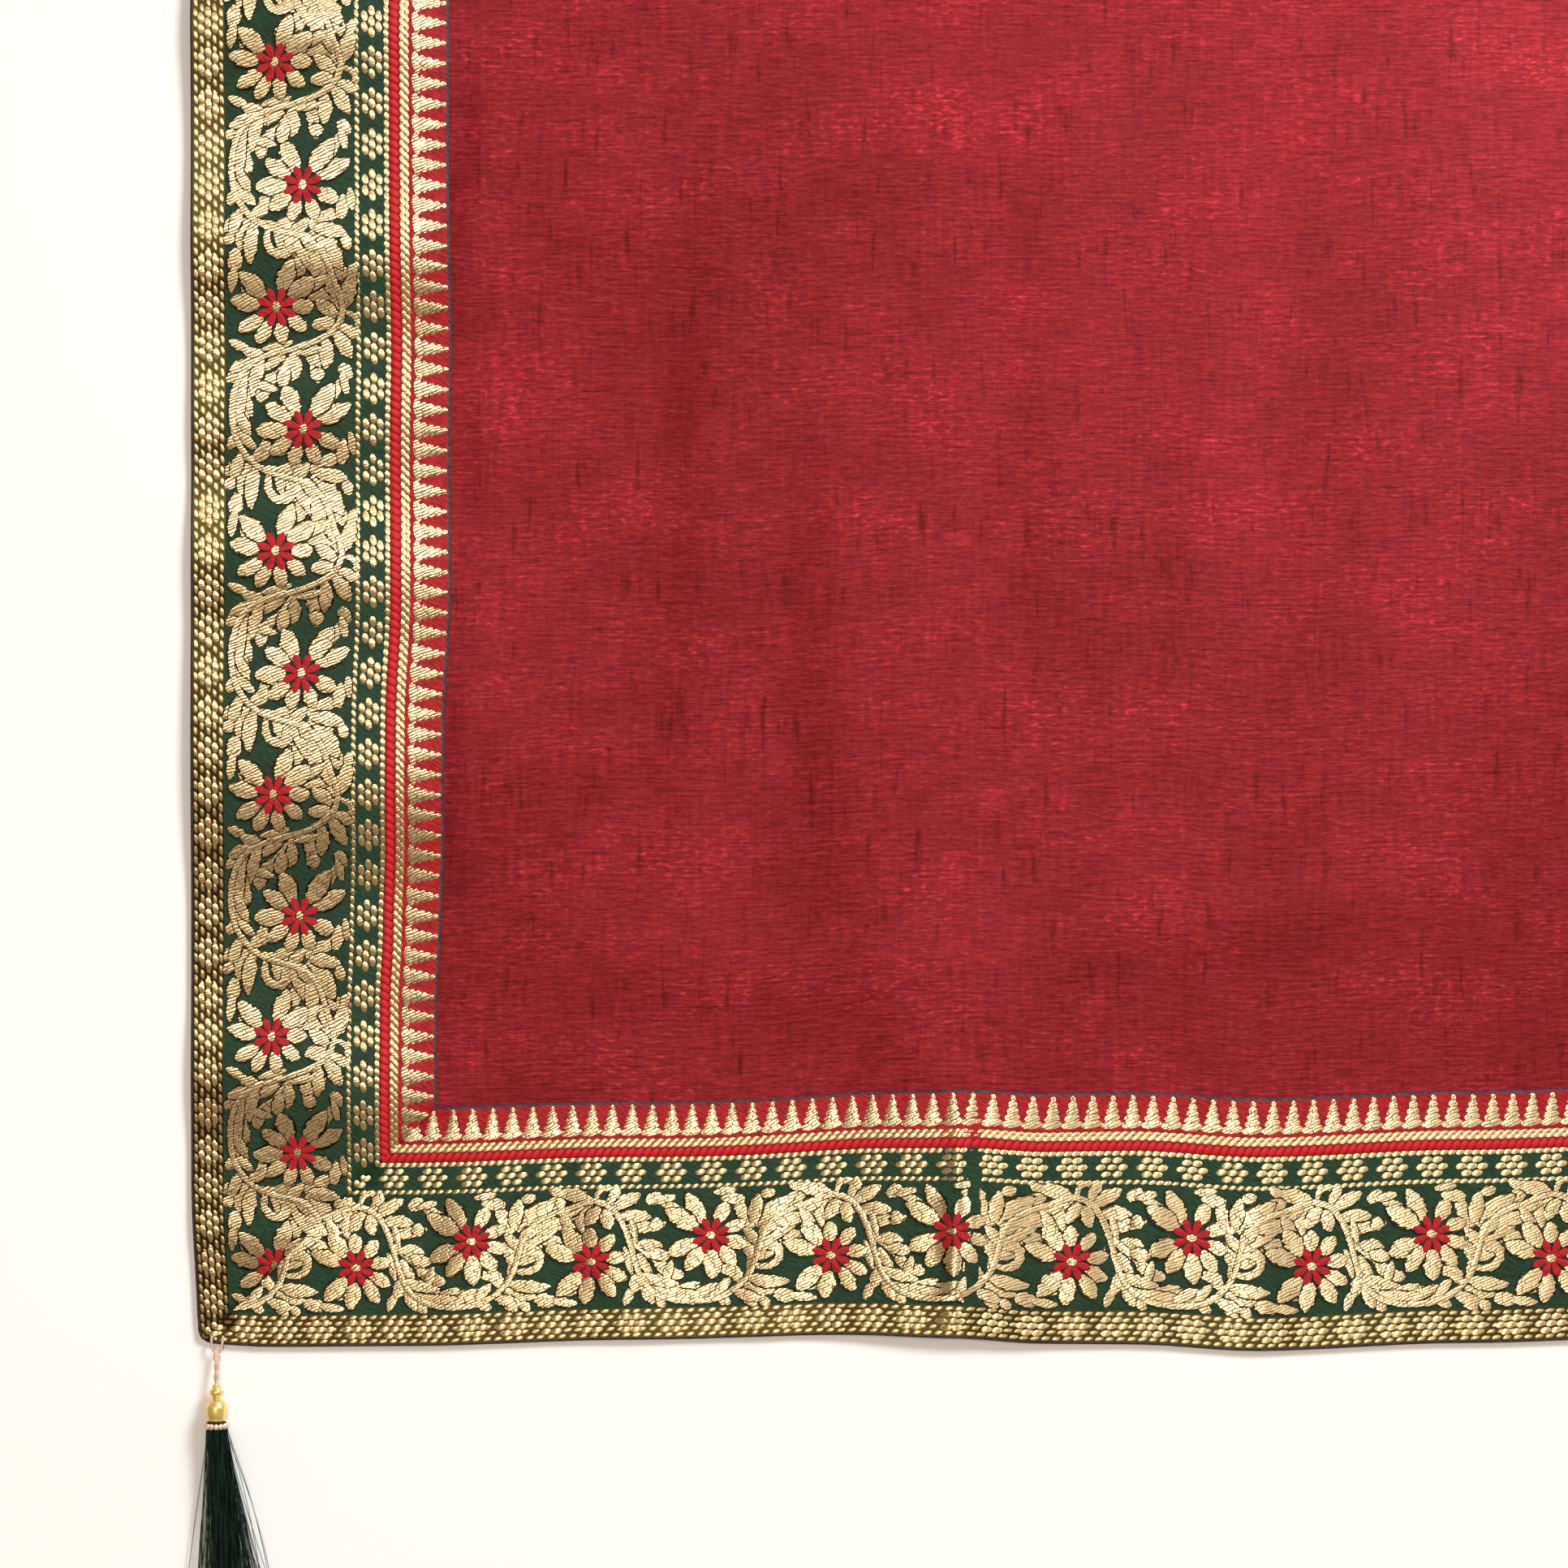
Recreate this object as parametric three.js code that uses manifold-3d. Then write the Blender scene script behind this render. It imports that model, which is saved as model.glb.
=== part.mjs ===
// A silk sari laid out flat on a surface: one length of crimson silk with a brocade tape sewn along
// both long sides and across the pallu, mitred at the pallu's two corners, and a tassel hung from
// each of those corners. Millimetres, +Z up.
//
// The cloth is described in cut coordinates: s runs across the width from the left long side, and t
// runs up the length from the pallu end. `place` carries a cut point to where the cloth lies.

import * as THREE from 'three';
import { mergeVertices } from 'three/addons/utils/BufferGeometryUtils.js';
import Module from 'manifold-3d';

const manifold = await Module();
manifold.setup();

// ---------------------------------------------------------------- driving sizes

const WIDTH = 1100; // selvedge to selvedge
const LENGTH = 5500; // pallu end to inner end
const CLOTH = 1.0; // wall of silk, and of tape
const GAP = 0.3; // between a tape and the silk under it, and at the mitre
const TAPE = 100; // width of the brocade tape
const TAPE_STRIPS = 3; // strips across a tape
const CORNER_ROUND = 6; // radius of the turned pallu corners
const HEM = { width: 10, step: 1, rise: 1.0 }; // the turned hem at the inner end

const TASSEL = {
  inset: 8, // from the long side to where the thread comes out of the cloth
  start: 3, // from the pallu edge to where the thread comes out
  axisHeight: 4.8, // the collar rests on the surface
  threadRadius: 0.7,
  threadReach: 15.2, // from the pallu edge to the bead
  bead: { length: 6.0, radius: 2.7, waist: 1.6 },
  cap: { length: 8.3, radius: 4.25, mouth: 3.2 },
  collar: { length: 3.2, radius: 4.8, bore: 3.7 },
  head: { length: 4.0, radius: 3.35 },
  skirt: { strands: 34, length: 78, strandRadius: 0.3, steps: 5, lowest: 0.8, highest: 5.4 },
};
const TASSEL_REACH = TASSEL.threadReach + TASSEL.bead.length + TASSEL.cap.length
  + 3 * GAP + TASSEL.skirt.length;

// The origin is under the middle of everything, on the surface that the sari lies on.
const PALLU_Y = -(LENGTH + TASSEL_REACH) / 2 + TASSEL_REACH;

const COLOURS = {
  silk: { color: 0x9e2e32, roughness: 0.45, metalness: 0.1 },
  brocade: { color: 0xbfa06c, roughness: 0.4, metalness: 0.5 },
  thread: { color: 0xc9a070, roughness: 0.6, metalness: 0.2 },
  gilt: { color: 0xe0ae3c, roughness: 0.2, metalness: 1.0 },
  pale: { color: 0xe6c8a8, roughness: 0.3, metalness: 0.8 },
  skirt: { color: 0x12302a, roughness: 0.55, metalness: 0.0 },
};

// ---------------------------------------------------------------- how the cloth lies

// Soft folds near the pallu end. `turn` is a fold's direction in degrees from s towards t, `reach`
// how far it runs each way along that, and `half` its half width.
const CORNER_FOLDS = [
  { s: 492, t: 330, turn: 86, reach: 330, half: 88, height: 6.5 },
  { s: 306, t: 60, turn: 84, reach: 190, half: 62, height: 3.6 },
  { s: 60, t: 255, turn: 4, reach: 170, half: 74, height: 3.0 },
  { s: 150, t: 470, turn: 8, reach: 230, half: 95, height: 3.8 },
  { s: 700, t: 210, turn: 96, reach: 290, half: 110, height: 6.0 },
  { s: 905, t: 150, turn: 80, reach: 210, half: 90, height: 4.5 },
  { s: 1040, t: 370, turn: -6, reach: 190, half: 95, height: 3.6 },
];

// Farther up, long soft folds lie along and across the cloth by turns.
const LONG_FOLDS = {
  count: 26,
  first: 720,
  last: 5290,
  golden: 0.618034, // spaces the folds across the width without a visible order
  reach: [300, 520],
  half: [150, 205],
  height: [4.5, 8.0],
};

const mix = (a, b, share) => a + (b - a) * share;
const fraction = (value) => value - Math.floor(value);

function longFolds() {
  const { count, first, last, golden, reach, half, height } = LONG_FOLDS;
  return Array.from({ length: count }, (_, k) => {
    const chance = fraction((k + 1) * golden);
    const along = k % 2 === 0; // every other fold runs up the length
    return {
      s: mix(90, WIDTH - 90, fraction((k + 1) * golden * 1.7)),
      t: mix(first, last, k / (count - 1)),
      turn: (along ? 90 : 0) + mix(-14, 14, chance),
      reach: mix(...reach, chance),
      half: mix(...half, fraction(chance * 3)),
      height: mix(...height, fraction(chance * 5)),
    };
  });
}

const FOLDS = [...CORNER_FOLDS, ...longFolds()];

// One soft ridge: a raised cosine across it that dies away towards its two ends.
function ridge(fold, s, t) {
  const turn = THREE.MathUtils.degToRad(fold.turn);
  const along = (s - fold.s) * Math.cos(turn) + (t - fold.t) * Math.sin(turn);
  const across = (t - fold.t) * Math.cos(turn) - (s - fold.s) * Math.sin(turn);
  if (Math.abs(along) > fold.reach || Math.abs(across) > fold.half) return 0;
  const fade = Math.cos((Math.PI / 2) * (along / fold.reach)) ** 2;
  return fold.height * fade * Math.cos((Math.PI / 2) * (across / fold.half)) ** 2;
}

// Height of the cloth's underside over the surface. It is 0 wherever no fold lifts it.
const lift = (s, t) => FOLDS.reduce((sum, fold) => sum + ridge(fold, s, t), 0);

// How far the pallu edge wanders off straight, how far the pallu tape's inner edge is drawn in by its
// sewing, and how far the left tape's inner edge leans.
const PALLU_WANDER = [
  { s: 0, out: -1.6 }, { s: 30, out: -2.9 }, { s: 85, out: -2.6 }, { s: 180, out: 0 },
  { s: 265, out: 2.0 }, { s: 300, out: 1.0 }, { s: 340, out: -1.6 }, { s: 372, out: -1.9 },
  { s: 420, out: -4.5 }, { s: 500, out: -1.4 }, { s: 600, out: 1.6 }, { s: 760, out: -2.0 },
  { s: 900, out: 1.2 }, { s: 1010, out: -1.0 }, { s: 1100, out: 0.4 },
];
const PALLU_DRAW = [
  { s: 0, out: -6.1 }, { s: 150, out: -6.2 }, { s: 215, out: -6.6 }, { s: 330, out: -1.6 },
  { s: 380, out: -0.8 }, { s: 700, out: -1.0 }, { s: 900, out: -3.5 }, { s: 1100, out: -4.5 },
];
const LEFT_LEAN = [
  { t: 0, out: -3.2 }, { t: 140, out: -3.2 }, { t: 170, out: -1.6 }, { t: 205, out: -0.2 },
  { t: 250, out: 0 }, { t: 300, out: 2.6 }, { t: 345, out: 2.0 }, { t: 400, out: 2.8 },
  { t: 470, out: 2.0 }, { t: 620, out: 2.4 }, { t: 1200, out: 0 }, { t: 5500, out: 0 },
];
const CORNER_IN = { size: 2.6, reach: 70 }; // how far the pallu corners are pulled in from the side
const WANDER_FADES = 620; // how far up the cloth the pallu edge's wander reaches
const LONG_WANDER = { size: 2.4, wave: 830 }; // the long sides' own slow wander

// Reads a table of { [key], out } rows, easing from one row to the next.
function eased(rows, key, at) {
  const next = rows.findIndex((row) => row[key] > at);
  if (next < 0) return rows.at(-1).out;
  if (next === 0) return rows[0].out;
  const [a, b] = [rows[next - 1], rows[next]];
  return mix(a.out, b.out, THREE.MathUtils.smoothstep(at, a[key], b[key]));
}

const fromSide = (s) => Math.min(s, WIDTH - s);
const inward = (s) => (s < WIDTH / 2 ? 1 : -1);

// The turned corner: a square of cloth at each pallu corner drawn in to a quarter circle.
function roundCorner(s, t) {
  const side = fromSide(s);
  if (side >= CORNER_ROUND || t >= CORNER_ROUND) return [s, t];
  const [p, q] = [1 - side / CORNER_ROUND, 1 - t / CORNER_ROUND];
  const newSide = CORNER_ROUND * (1 - p * Math.sqrt(1 - (q * q) / 2));
  const newT = CORNER_ROUND * (1 - q * Math.sqrt(1 - (p * p) / 2));
  return [s < WIDTH / 2 ? newSide : WIDTH - newSide, newT];
}

// Where a cut point lies, with `above` its height over the cloth's underside.
function place(s, t, above) {
  const { clamp, smoothstep } = THREE.MathUtils;
  const [sRound, tRound] = roundCorner(s, t);
  const lean = eased(LEFT_LEAN, 't', t) * clamp(s / TAPE, 0, 1) * (1 - smoothstep(s, TAPE, WIDTH / 2));
  const sway = LONG_WANDER.size * Math.sin((2 * Math.PI * t) / LONG_WANDER.wave)
    * smoothstep(t, WANDER_FADES, 2 * WANDER_FADES);
  const side = CORNER_IN.size * inward(s) * (1 - smoothstep(fromSide(s), 0, TAPE))
    * (1 - smoothstep(t, 0, CORNER_IN.reach));
  const wander = eased(PALLU_WANDER, 's', s) * (1 - smoothstep(t, 0, WANDER_FADES));
  const draw = eased(PALLU_DRAW, 's', s) * clamp(t / TAPE, 0, 1)
    * (1 - smoothstep(t, TAPE, WANDER_FADES));
  return new THREE.Vector3(
    sRound - WIDTH / 2 + lean + sway + side,
    tRound + PALLU_Y + wander + draw,
    lift(s, t) + above,
  );
}

// ---------------------------------------------------------------- the cloth's grid

// Evenly spaced marks from a to b, without b.
const marks = (a, b, count) => Array.from({ length: count }, (_, k) => mix(a, b, k / count));

// A tape's own marks, the same from either edge, so that a mitre runs through the grid's corners.
const TAPE_MARKS = [0, CORNER_ROUND, ...marks(TAPE / TAPE_STRIPS, TAPE, TAPE_STRIPS - 1)];
const FINE_END = 640; // the grid is finer below this, where the shorter folds are
const HEM_START = LENGTH - HEM.width;

const ACROSS = [
  ...TAPE_MARKS,
  ...marks(TAPE, WIDTH - TAPE, 16),
  WIDTH - TAPE,
  ...TAPE_MARKS.map((mark) => WIDTH - mark).reverse(),
];
const ALONG = [
  ...TAPE_MARKS,
  ...marks(TAPE, FINE_END, 11),
  ...marks(FINE_END, HEM_START - HEM.step, 40),
  HEM_START - HEM.step,
  HEM_START,
  LENGTH,
];

// The grid's cells, each cut into two triangles along the diagonal that the mitre on its side takes.
function* triangles() {
  for (let i = 0; i < ACROSS.length - 1; i += 1) {
    for (let j = 0; j < ALONG.length - 1; j += 1) {
      const [a, b, c, d] = [[i, j], [i + 1, j], [i + 1, j + 1], [i, j + 1]];
      if (ACROSS[i] < WIDTH / 2) yield* [[a, b, c], [a, c, d]];
      else yield* [[a, b, d], [b, c, d]];
    }
  }
}

const middle = (corners, marksOf, k) => corners.reduce((sum, c) => sum + marksOf[c[k]], 0) / 3;

// A closed wall of cloth over the triangles that `covers` accepts, from `low` to `high` above the
// underside, with `nudge` moving its points at the mitre.
function clothWall(covers, low, high, nudge = () => [0, 0]) {
  const points = [];
  const faces = [];
  const indexOf = new Map();
  const edges = new Map();
  const corner = ([i, j]) => {
    const key = `${i},${j}`;
    if (!indexOf.has(key)) {
      const [s, t] = [ACROSS[i], ALONG[j]];
      const [ds, dt] = nudge(s, t);
      indexOf.set(key, points.length);
      for (const above of [high(s, t), low(s, t)]) {
        points.push(place(s, t, above).add(new THREE.Vector3(ds, dt, 0)));
      }
    }
    return indexOf.get(key); // of the upper point, with the lower one after it
  };
  for (const corners of triangles()) {
    if (!covers(middle(corners, ACROSS, 0), middle(corners, ALONG, 1))) continue;
    const [a, b, c] = corners.map(corner);
    faces.push([a, b, c], [a + 1, c + 1, b + 1]);
    for (const [p, q] of [[a, b], [b, c], [c, a]]) {
      if (!edges.delete(`${q},${p}`)) edges.set(`${p},${q}`, [p, q]);
    }
  }
  for (const [p, q] of edges.values()) faces.push([p, p + 1, q + 1], [p, q + 1, q]);
  const geometry = new THREE.BufferGeometry().setFromPoints(points);
  geometry.setIndex(faces.flat());
  return geometry;
}

// ---------------------------------------------------------------- silk and tapes

// The silk is doubled where its inner end is turned into a hem.
const hemRise = (t) => HEM.rise * THREE.MathUtils.clamp((t - HEM_START) / HEM.step + 1, 0, 1);
const silkTop = (s, t) => CLOTH + hemRise(t);
const tapeLow = (s, t) => silkTop(s, t) + GAP;
const tapeHigh = (s, t) => tapeLow(s, t) + CLOTH;

const SEAM = GAP / 2 / Math.SQRT2;
const onMitre = (side, t) => t <= TAPE && Math.abs(side - t) < 1e-6;

// A side tape gives way upwards and outwards at its mitre, and the pallu tape down and inwards.
const sideNudge = (s, t) => (onMitre(fromSide(s), t) ? [-inward(s) * SEAM, SEAM] : [0, 0]);
const palluNudge = (s, t) => (onMitre(fromSide(s), t) ? [inward(s) * SEAM, -SEAM] : [0, 0]);

const field = () => clothWall(() => true, () => 0, silkTop);
const sideTape = (side) => clothWall(
  (s, t) => fromSide(s) < TAPE && inward(s) === side && fromSide(s) < t,
  tapeLow,
  tapeHigh,
  sideNudge,
);
const palluTape = () => clothWall(
  (s, t) => t < TAPE && fromSide(s) > t,
  tapeLow,
  tapeHigh,
  palluNudge,
);

// ---------------------------------------------------------------- tassels

// A tassel is made along -Y from its thread, on the axis x = 0, z = 0.

// A turned piece on that axis. Each row of the profile is how far out and how far along.
function turned(profile, from, sides = 16) {
  const geometry = new THREE.LatheGeometry(profile.map((row) => new THREE.Vector2(...row)), sides);
  return geometry.rotateX(Math.PI).translate(0, -from, 0);
}

// A closed tube of the given radius and number of sides along a curve.
function tube(curve, radius, sides, steps) {
  const outline = new THREE.Shape(marks(0, 2 * Math.PI, sides).map(
    (angle) => new THREE.Vector2(radius * Math.cos(angle), radius * Math.sin(angle)),
  ));
  return new THREE.ExtrudeGeometry(outline, { steps, bevelEnabled: false, extrudePath: curve });
}

function thread(rise) {
  const path = new THREE.CatmullRomCurve3([
    new THREE.Vector3(0, TASSEL.start, rise),
    new THREE.Vector3(0, -2, rise),
    new THREE.Vector3(0.3, -TASSEL.threadReach / 2, rise * 0.6),
    new THREE.Vector3(0, -TASSEL.threadReach + 1.5, 0),
    new THREE.Vector3(0, -TASSEL.threadReach + GAP, 0),
  ]);
  return tube(path, TASSEL.threadRadius, 8, 12);
}

const bead = (from) => {
  const { length, radius, waist } = TASSEL.bead;
  const round = marks(0, 1, 8).slice(1).map((share) => [
    mix(waist, radius, Math.sin(Math.PI * share)),
    length * share,
  ]);
  return turned([[0, 0], [waist, 0], ...round, [waist, length], [0, length]], from);
};

const cap = (from) => {
  const { length, radius, mouth } = TASSEL.cap;
  return turned([
    [0, 0], [mouth, 0], [radius * 0.92, length * 0.14], [radius, length * 0.34],
    [radius, length * 0.7], [radius * 0.93, length * 0.9], [mouth, length], [0, length],
  ], from);
};

const collar = (from) => {
  const { length, radius, bore } = TASSEL.collar;
  const centre = (radius + bore) / 2;
  const half = (radius - bore) / 2;
  const ring = marks(0, 2 * Math.PI, 8).map((angle) => [
    centre + half * Math.cos(angle),
    (length / 2) * (1 + Math.sin(angle)),
  ]);
  return turned([...ring, ring[0]], from);
};

// A geometry as a solid that can be joined to others.
function solid(geometry) {
  const bare = geometry.clone();
  bare.deleteAttribute('normal');
  bare.deleteAttribute('uv');
  const merged = mergeVertices(bare, 1e-4);
  return new manifold.Manifold(new manifold.Mesh({
    numProp: 3,
    vertProperties: new Float32Array(merged.attributes.position.array),
    triVerts: new Uint32Array(merged.index.array),
  }));
}

function geometryOf(body) {
  const mesh = body.getMesh();
  const geometry = new THREE.BufferGeometry();
  geometry.setAttribute('position', new THREE.BufferAttribute(mesh.vertProperties, 3));
  geometry.setIndex(new THREE.BufferAttribute(mesh.triVerts, 1));
  return geometry;
}

// The strands leave the bound head in a sunflower's order and fan out flat on the surface. `drift`
// carries the whole skirt sideways and `spread` is its half width at the ends.
function skirt(from, drift, spread) {
  const { strands, length, strandRadius, steps, lowest, highest } = TASSEL.skirt;
  const { head } = TASSEL;
  const goldenAngle = Math.PI * (3 - Math.sqrt(5));
  const rootRadius = head.radius - 2 * strandRadius;
  const rootY = -from - head.length + 1;
  let body = solid(turned([[0, 0], [head.radius, 0], [head.radius, head.length], [0, head.length]], from, 12));
  for (let k = 0; k < strands; k += 1) {
    const out = rootRadius * Math.sqrt((k + 0.5) / strands);
    const x = out * Math.cos(k * goldenAngle);
    const z = out * Math.sin(k * goldenAngle);
    const endX = drift + (x / rootRadius) * spread;
    const endZ = mix(lowest, highest, (z / rootRadius + 1) / 2) - TASSEL.axisHeight;
    const reach = length * (1 - 0.05 * fraction(k * 0.618034));
    const path = new THREE.CatmullRomCurve3([0, 0.06, 0.3, 0.65, 1].map((share) => new THREE.Vector3(
      mix(x, endX, share ** 1.15),
      rootY - (reach - head.length + 1) * share,
      mix(z, endZ, THREE.MathUtils.smoothstep(share, 0, 0.65)),
    )));
    body = body.add(solid(tube(path, strandRadius, 3, steps)));
  }
  return geometryOf(body);
}

// ---------------------------------------------------------------- the sari

const sari = new THREE.Group();

function add(parent, name, geometry, look) {
  const mesh = new THREE.Mesh(geometry, new THREE.MeshStandardMaterial(COLOURS[look]));
  mesh.name = name;
  parent.add(mesh);
}

add(sari, 'field', field(), 'silk');
add(sari, 'border_left', sideTape(1), 'brocade');
add(sari, 'border_right', sideTape(-1), 'brocade');
add(sari, 'border_pallu', palluTape(), 'brocade');

const TASSELS = [
  { side: 'left', s: TASSEL.inset, drift: 5.6, spread: 11.0 },
  { side: 'right', s: WIDTH - TASSEL.inset, drift: -3.8, spread: 9.6 },
];

for (const { side, s, drift, spread } of TASSELS) {
  const group = new THREE.Group();
  const anchor = place(s, TASSEL.start, tapeHigh(s, TASSEL.start) + GAP + TASSEL.threadRadius);
  group.position.set(anchor.x, anchor.y - TASSEL.start, TASSEL.axisHeight);
  const beadFrom = TASSEL.threadReach;
  const capFrom = beadFrom + TASSEL.bead.length + GAP;
  const collarFrom = capFrom + TASSEL.cap.length + GAP;
  add(group, `thread_${side}`, thread(anchor.z - TASSEL.axisHeight), 'thread');
  add(group, `bead_${side}`, bead(beadFrom), 'gilt');
  add(group, `cap_${side}`, cap(capFrom), 'gilt');
  add(group, `collar_${side}`, collar(collarFrom), 'pale');
  add(group, `skirt_${side}`, skirt(collarFrom, drift, spread), 'skirt');
  sari.add(group);
}

export default sari;
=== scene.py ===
"""A silk sari laid out flat: crimson silk, a woven brocade tape round three of its sides, and a
tassel at each pallu corner. Cut lengths are in millimetres, and what is built is in metres."""

import bmesh
import bpy
import mathutils
import numpy as np
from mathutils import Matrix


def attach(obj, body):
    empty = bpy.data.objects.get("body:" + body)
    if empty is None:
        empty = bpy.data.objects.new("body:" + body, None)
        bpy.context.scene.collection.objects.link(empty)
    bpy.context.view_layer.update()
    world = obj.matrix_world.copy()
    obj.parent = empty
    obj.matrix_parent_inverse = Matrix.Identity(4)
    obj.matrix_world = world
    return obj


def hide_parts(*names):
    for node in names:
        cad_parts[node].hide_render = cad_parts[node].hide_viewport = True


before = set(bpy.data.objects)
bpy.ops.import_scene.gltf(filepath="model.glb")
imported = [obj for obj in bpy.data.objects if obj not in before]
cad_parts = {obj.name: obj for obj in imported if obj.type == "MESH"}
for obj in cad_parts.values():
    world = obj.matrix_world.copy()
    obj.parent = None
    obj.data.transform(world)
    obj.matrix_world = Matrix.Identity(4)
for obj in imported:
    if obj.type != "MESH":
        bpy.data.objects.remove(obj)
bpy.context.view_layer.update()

# ------------------------------------------------------------------------------ the view
# Straight down on the corner where the pallu meets the left long side, with the length of the cloth
# running up the frame.

MM = 0.001
WIDTH = 1100  # selvedge to selvedge
LENGTH = 5500  # pallu end to inner end
TASSEL_REACH = 108.4  # from the pallu edge to the tips of the tassels
PALLU_Y = TASSEL_REACH - (LENGTH + TASSEL_REACH) / 2

# millimetres, but for how far the lens sees, which is in metres
VIEW = {"s": 233.6, "t": 218.9, "height": 1461, "lens": 85, "sensor": 36, "sees": 200}


def over_cloth(place):
    """Where something hangs over the cloth's s and t, in metres."""
    return (place["s"] - WIDTH / 2) * MM, (place["t"] + PALLU_Y) * MM, place["height"] * MM


scene = bpy.context.scene
lens = bpy.data.cameras.new("view")
lens.lens = VIEW["lens"]
lens.sensor_width = VIEW["sensor"]
lens.clip_end = VIEW["sees"]
camera = bpy.data.objects.new("view", lens)
camera.location = over_cloth(VIEW)
scene.collection.objects.link(camera)
scene.camera = camera
scene.view_settings.view_transform = "Standard"


# ------------------------------------------------------------------------------ floor and light
# A wide off-white table top and soft daylight: a broad window low at the upper right, a second light
# nearly overhead, a softbox that leans over the cloth from the right, and the room's own light.


def node(tree, kind, inputs=(), **settings):
    """A new node. An input's value is a number, a colour or another node's socket."""
    made = tree.nodes.new(kind)
    for name, value in settings.items():
        setattr(made, name, value)
    for name, value in dict(inputs).items():
        if isinstance(value, bpy.types.NodeSocket):
            tree.links.new(value, made.inputs[name])
        else:
            made.inputs[name].default_value = value
    return made


def srgb(red, green, blue):
    """A colour given from 0 to 255, as the linear colour that a socket takes."""
    share = np.array([red, green, blue]) / 255
    linear = np.where(share <= 0.04045, share / 12.92, ((share + 0.055) / 1.055) ** 2.4)
    return (*(float(x) for x in linear), 1.0)


def finish_of(name, **sockets):
    """A material with one Principled shader, set as given."""
    material = bpy.data.materials.new(name)
    material.use_nodes = True
    shader = material.node_tree.nodes["Principled BSDF"]
    for socket, value in sockets.items():
        shader.inputs[socket.replace("_", " ")].default_value = value
    return material


def dressed(material, colour, relief=None, strength=0.5, depth=0.4, shine=None):
    """The material with its colour, its relief at `depth` mm, and the UV map its shine follows."""
    tree = material.node_tree
    fed = {"Base Color": colour}
    if relief is not None:
        fed["Normal"] = node(tree, "ShaderNodeBump", {
            "Strength": strength, "Distance": depth * MM, "Height": relief,
        }).outputs[0]
    if shine is not None:
        way = node(tree, "ShaderNodeTangent", direction_type="UV_MAP", uv_map=shine)
        fed["Tangent"] = way.outputs[0]
    for name, socket in fed.items():
        tree.links.new(socket, tree.nodes["Principled BSDF"].inputs[name])
    return material


def mesh_object(name, points, faces, smooth=True):
    mesh = bpy.data.meshes.new(name)
    mesh.from_pydata([tuple(p) for p in points], [], [tuple(f) for f in faces])
    mesh.polygons.foreach_set("use_smooth", [smooth] * len(mesh.polygons))
    made = bpy.data.objects.new(name, mesh)
    scene.collection.objects.link(made)
    return made


# reach each way in metres, drop under the cloth in millimetres, and the two tones of its paint
FLOOR = {"reach": 150, "drop": 0.2,
         "dull": (0.955, 0.952, 0.935, 1), "bright": (0.975, 0.965, 0.945, 1)}
floor_corners = [
    (x * FLOOR["reach"], y * FLOOR["reach"], -FLOOR["drop"] * MM)
    for x, y in ((-1, -1), (1, -1), (1, 1), (-1, 1))
]
floor = mesh_object("floor", floor_corners, [(0, 1, 2, 3)])
table = finish_of("table_top", Roughness=0.9, Specular_IOR_Level=0.1)
paint = node(table.node_tree, "ShaderNodeTexNoise", {"Scale": 3.0, "Detail": 3.0}).outputs["Fac"]
tint = node(table.node_tree, "ShaderNodeMix", {
    0: paint, 6: FLOOR["dull"], 7: FLOOR["bright"],
}, data_type="RGBA").outputs[2]
floor.data.materials.append(dressed(table, tint))

# azimuth is from +X towards +Y, in degrees, and spread is how wide the window looks
WINDOWS = (
    {"name": "window", "azimuth": 48, "height": 31, "spread": 16, "power": 2.35,
     "colour": (0.95, 1.04, 1.14)},
    {"name": "overhead", "azimuth": 87, "height": 78, "spread": 12, "power": 1.0,
     "colour": (1, 0.95, 0.88)},
)
for window in WINDOWS:
    lamp = bpy.data.lights.new(window["name"], "SUN")
    lamp.energy = window["power"]
    lamp.angle = np.radians(window["spread"])
    lamp.color = window["colour"]
    made = bpy.data.objects.new(window["name"], lamp)
    made.rotation_euler = (0, np.radians(90 - window["height"]), np.radians(window["azimuth"]))
    scene.collection.objects.link(made)

SOFTBOX = {"s": 650, "t": 610, "height": 500, "wide": 350, "long": 360, "tilt": 38, "power": 1.7}
ROOM = {"colour": (1.0, 0.79, 0.59, 1), "strength": 0.34}
lamp = bpy.data.lights.new("softbox", "AREA")
lamp.shape = "RECTANGLE"
lamp.size = SOFTBOX["wide"] * MM
lamp.size_y = SOFTBOX["long"] * MM
lamp.energy = SOFTBOX["power"]
softbox = bpy.data.objects.new("softbox", lamp)
softbox.location = over_cloth(SOFTBOX)
softbox.rotation_euler = (0, np.radians(SOFTBOX["tilt"]), 0)
softbox.visible_camera = False
scene.collection.objects.link(softbox)

room = bpy.data.worlds.new("room")
room.use_nodes = True
light = room.node_tree.nodes["Background"].inputs
light["Color"].default_value = ROOM["colour"]
light["Strength"].default_value = ROOM["strength"]
scene.world = room


# ------------------------------------------------------------------------------ how the cloth lies
# The cloth is described as cut: s runs across the width from the left long side, t up the length
# from the pallu end. It lies flat but for soft folds, and for finer creases over tape and silk.

CORNER_ROUND = 6  # radius of the turned pallu corners
TAPE = 100  # width of the brocade tape

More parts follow.
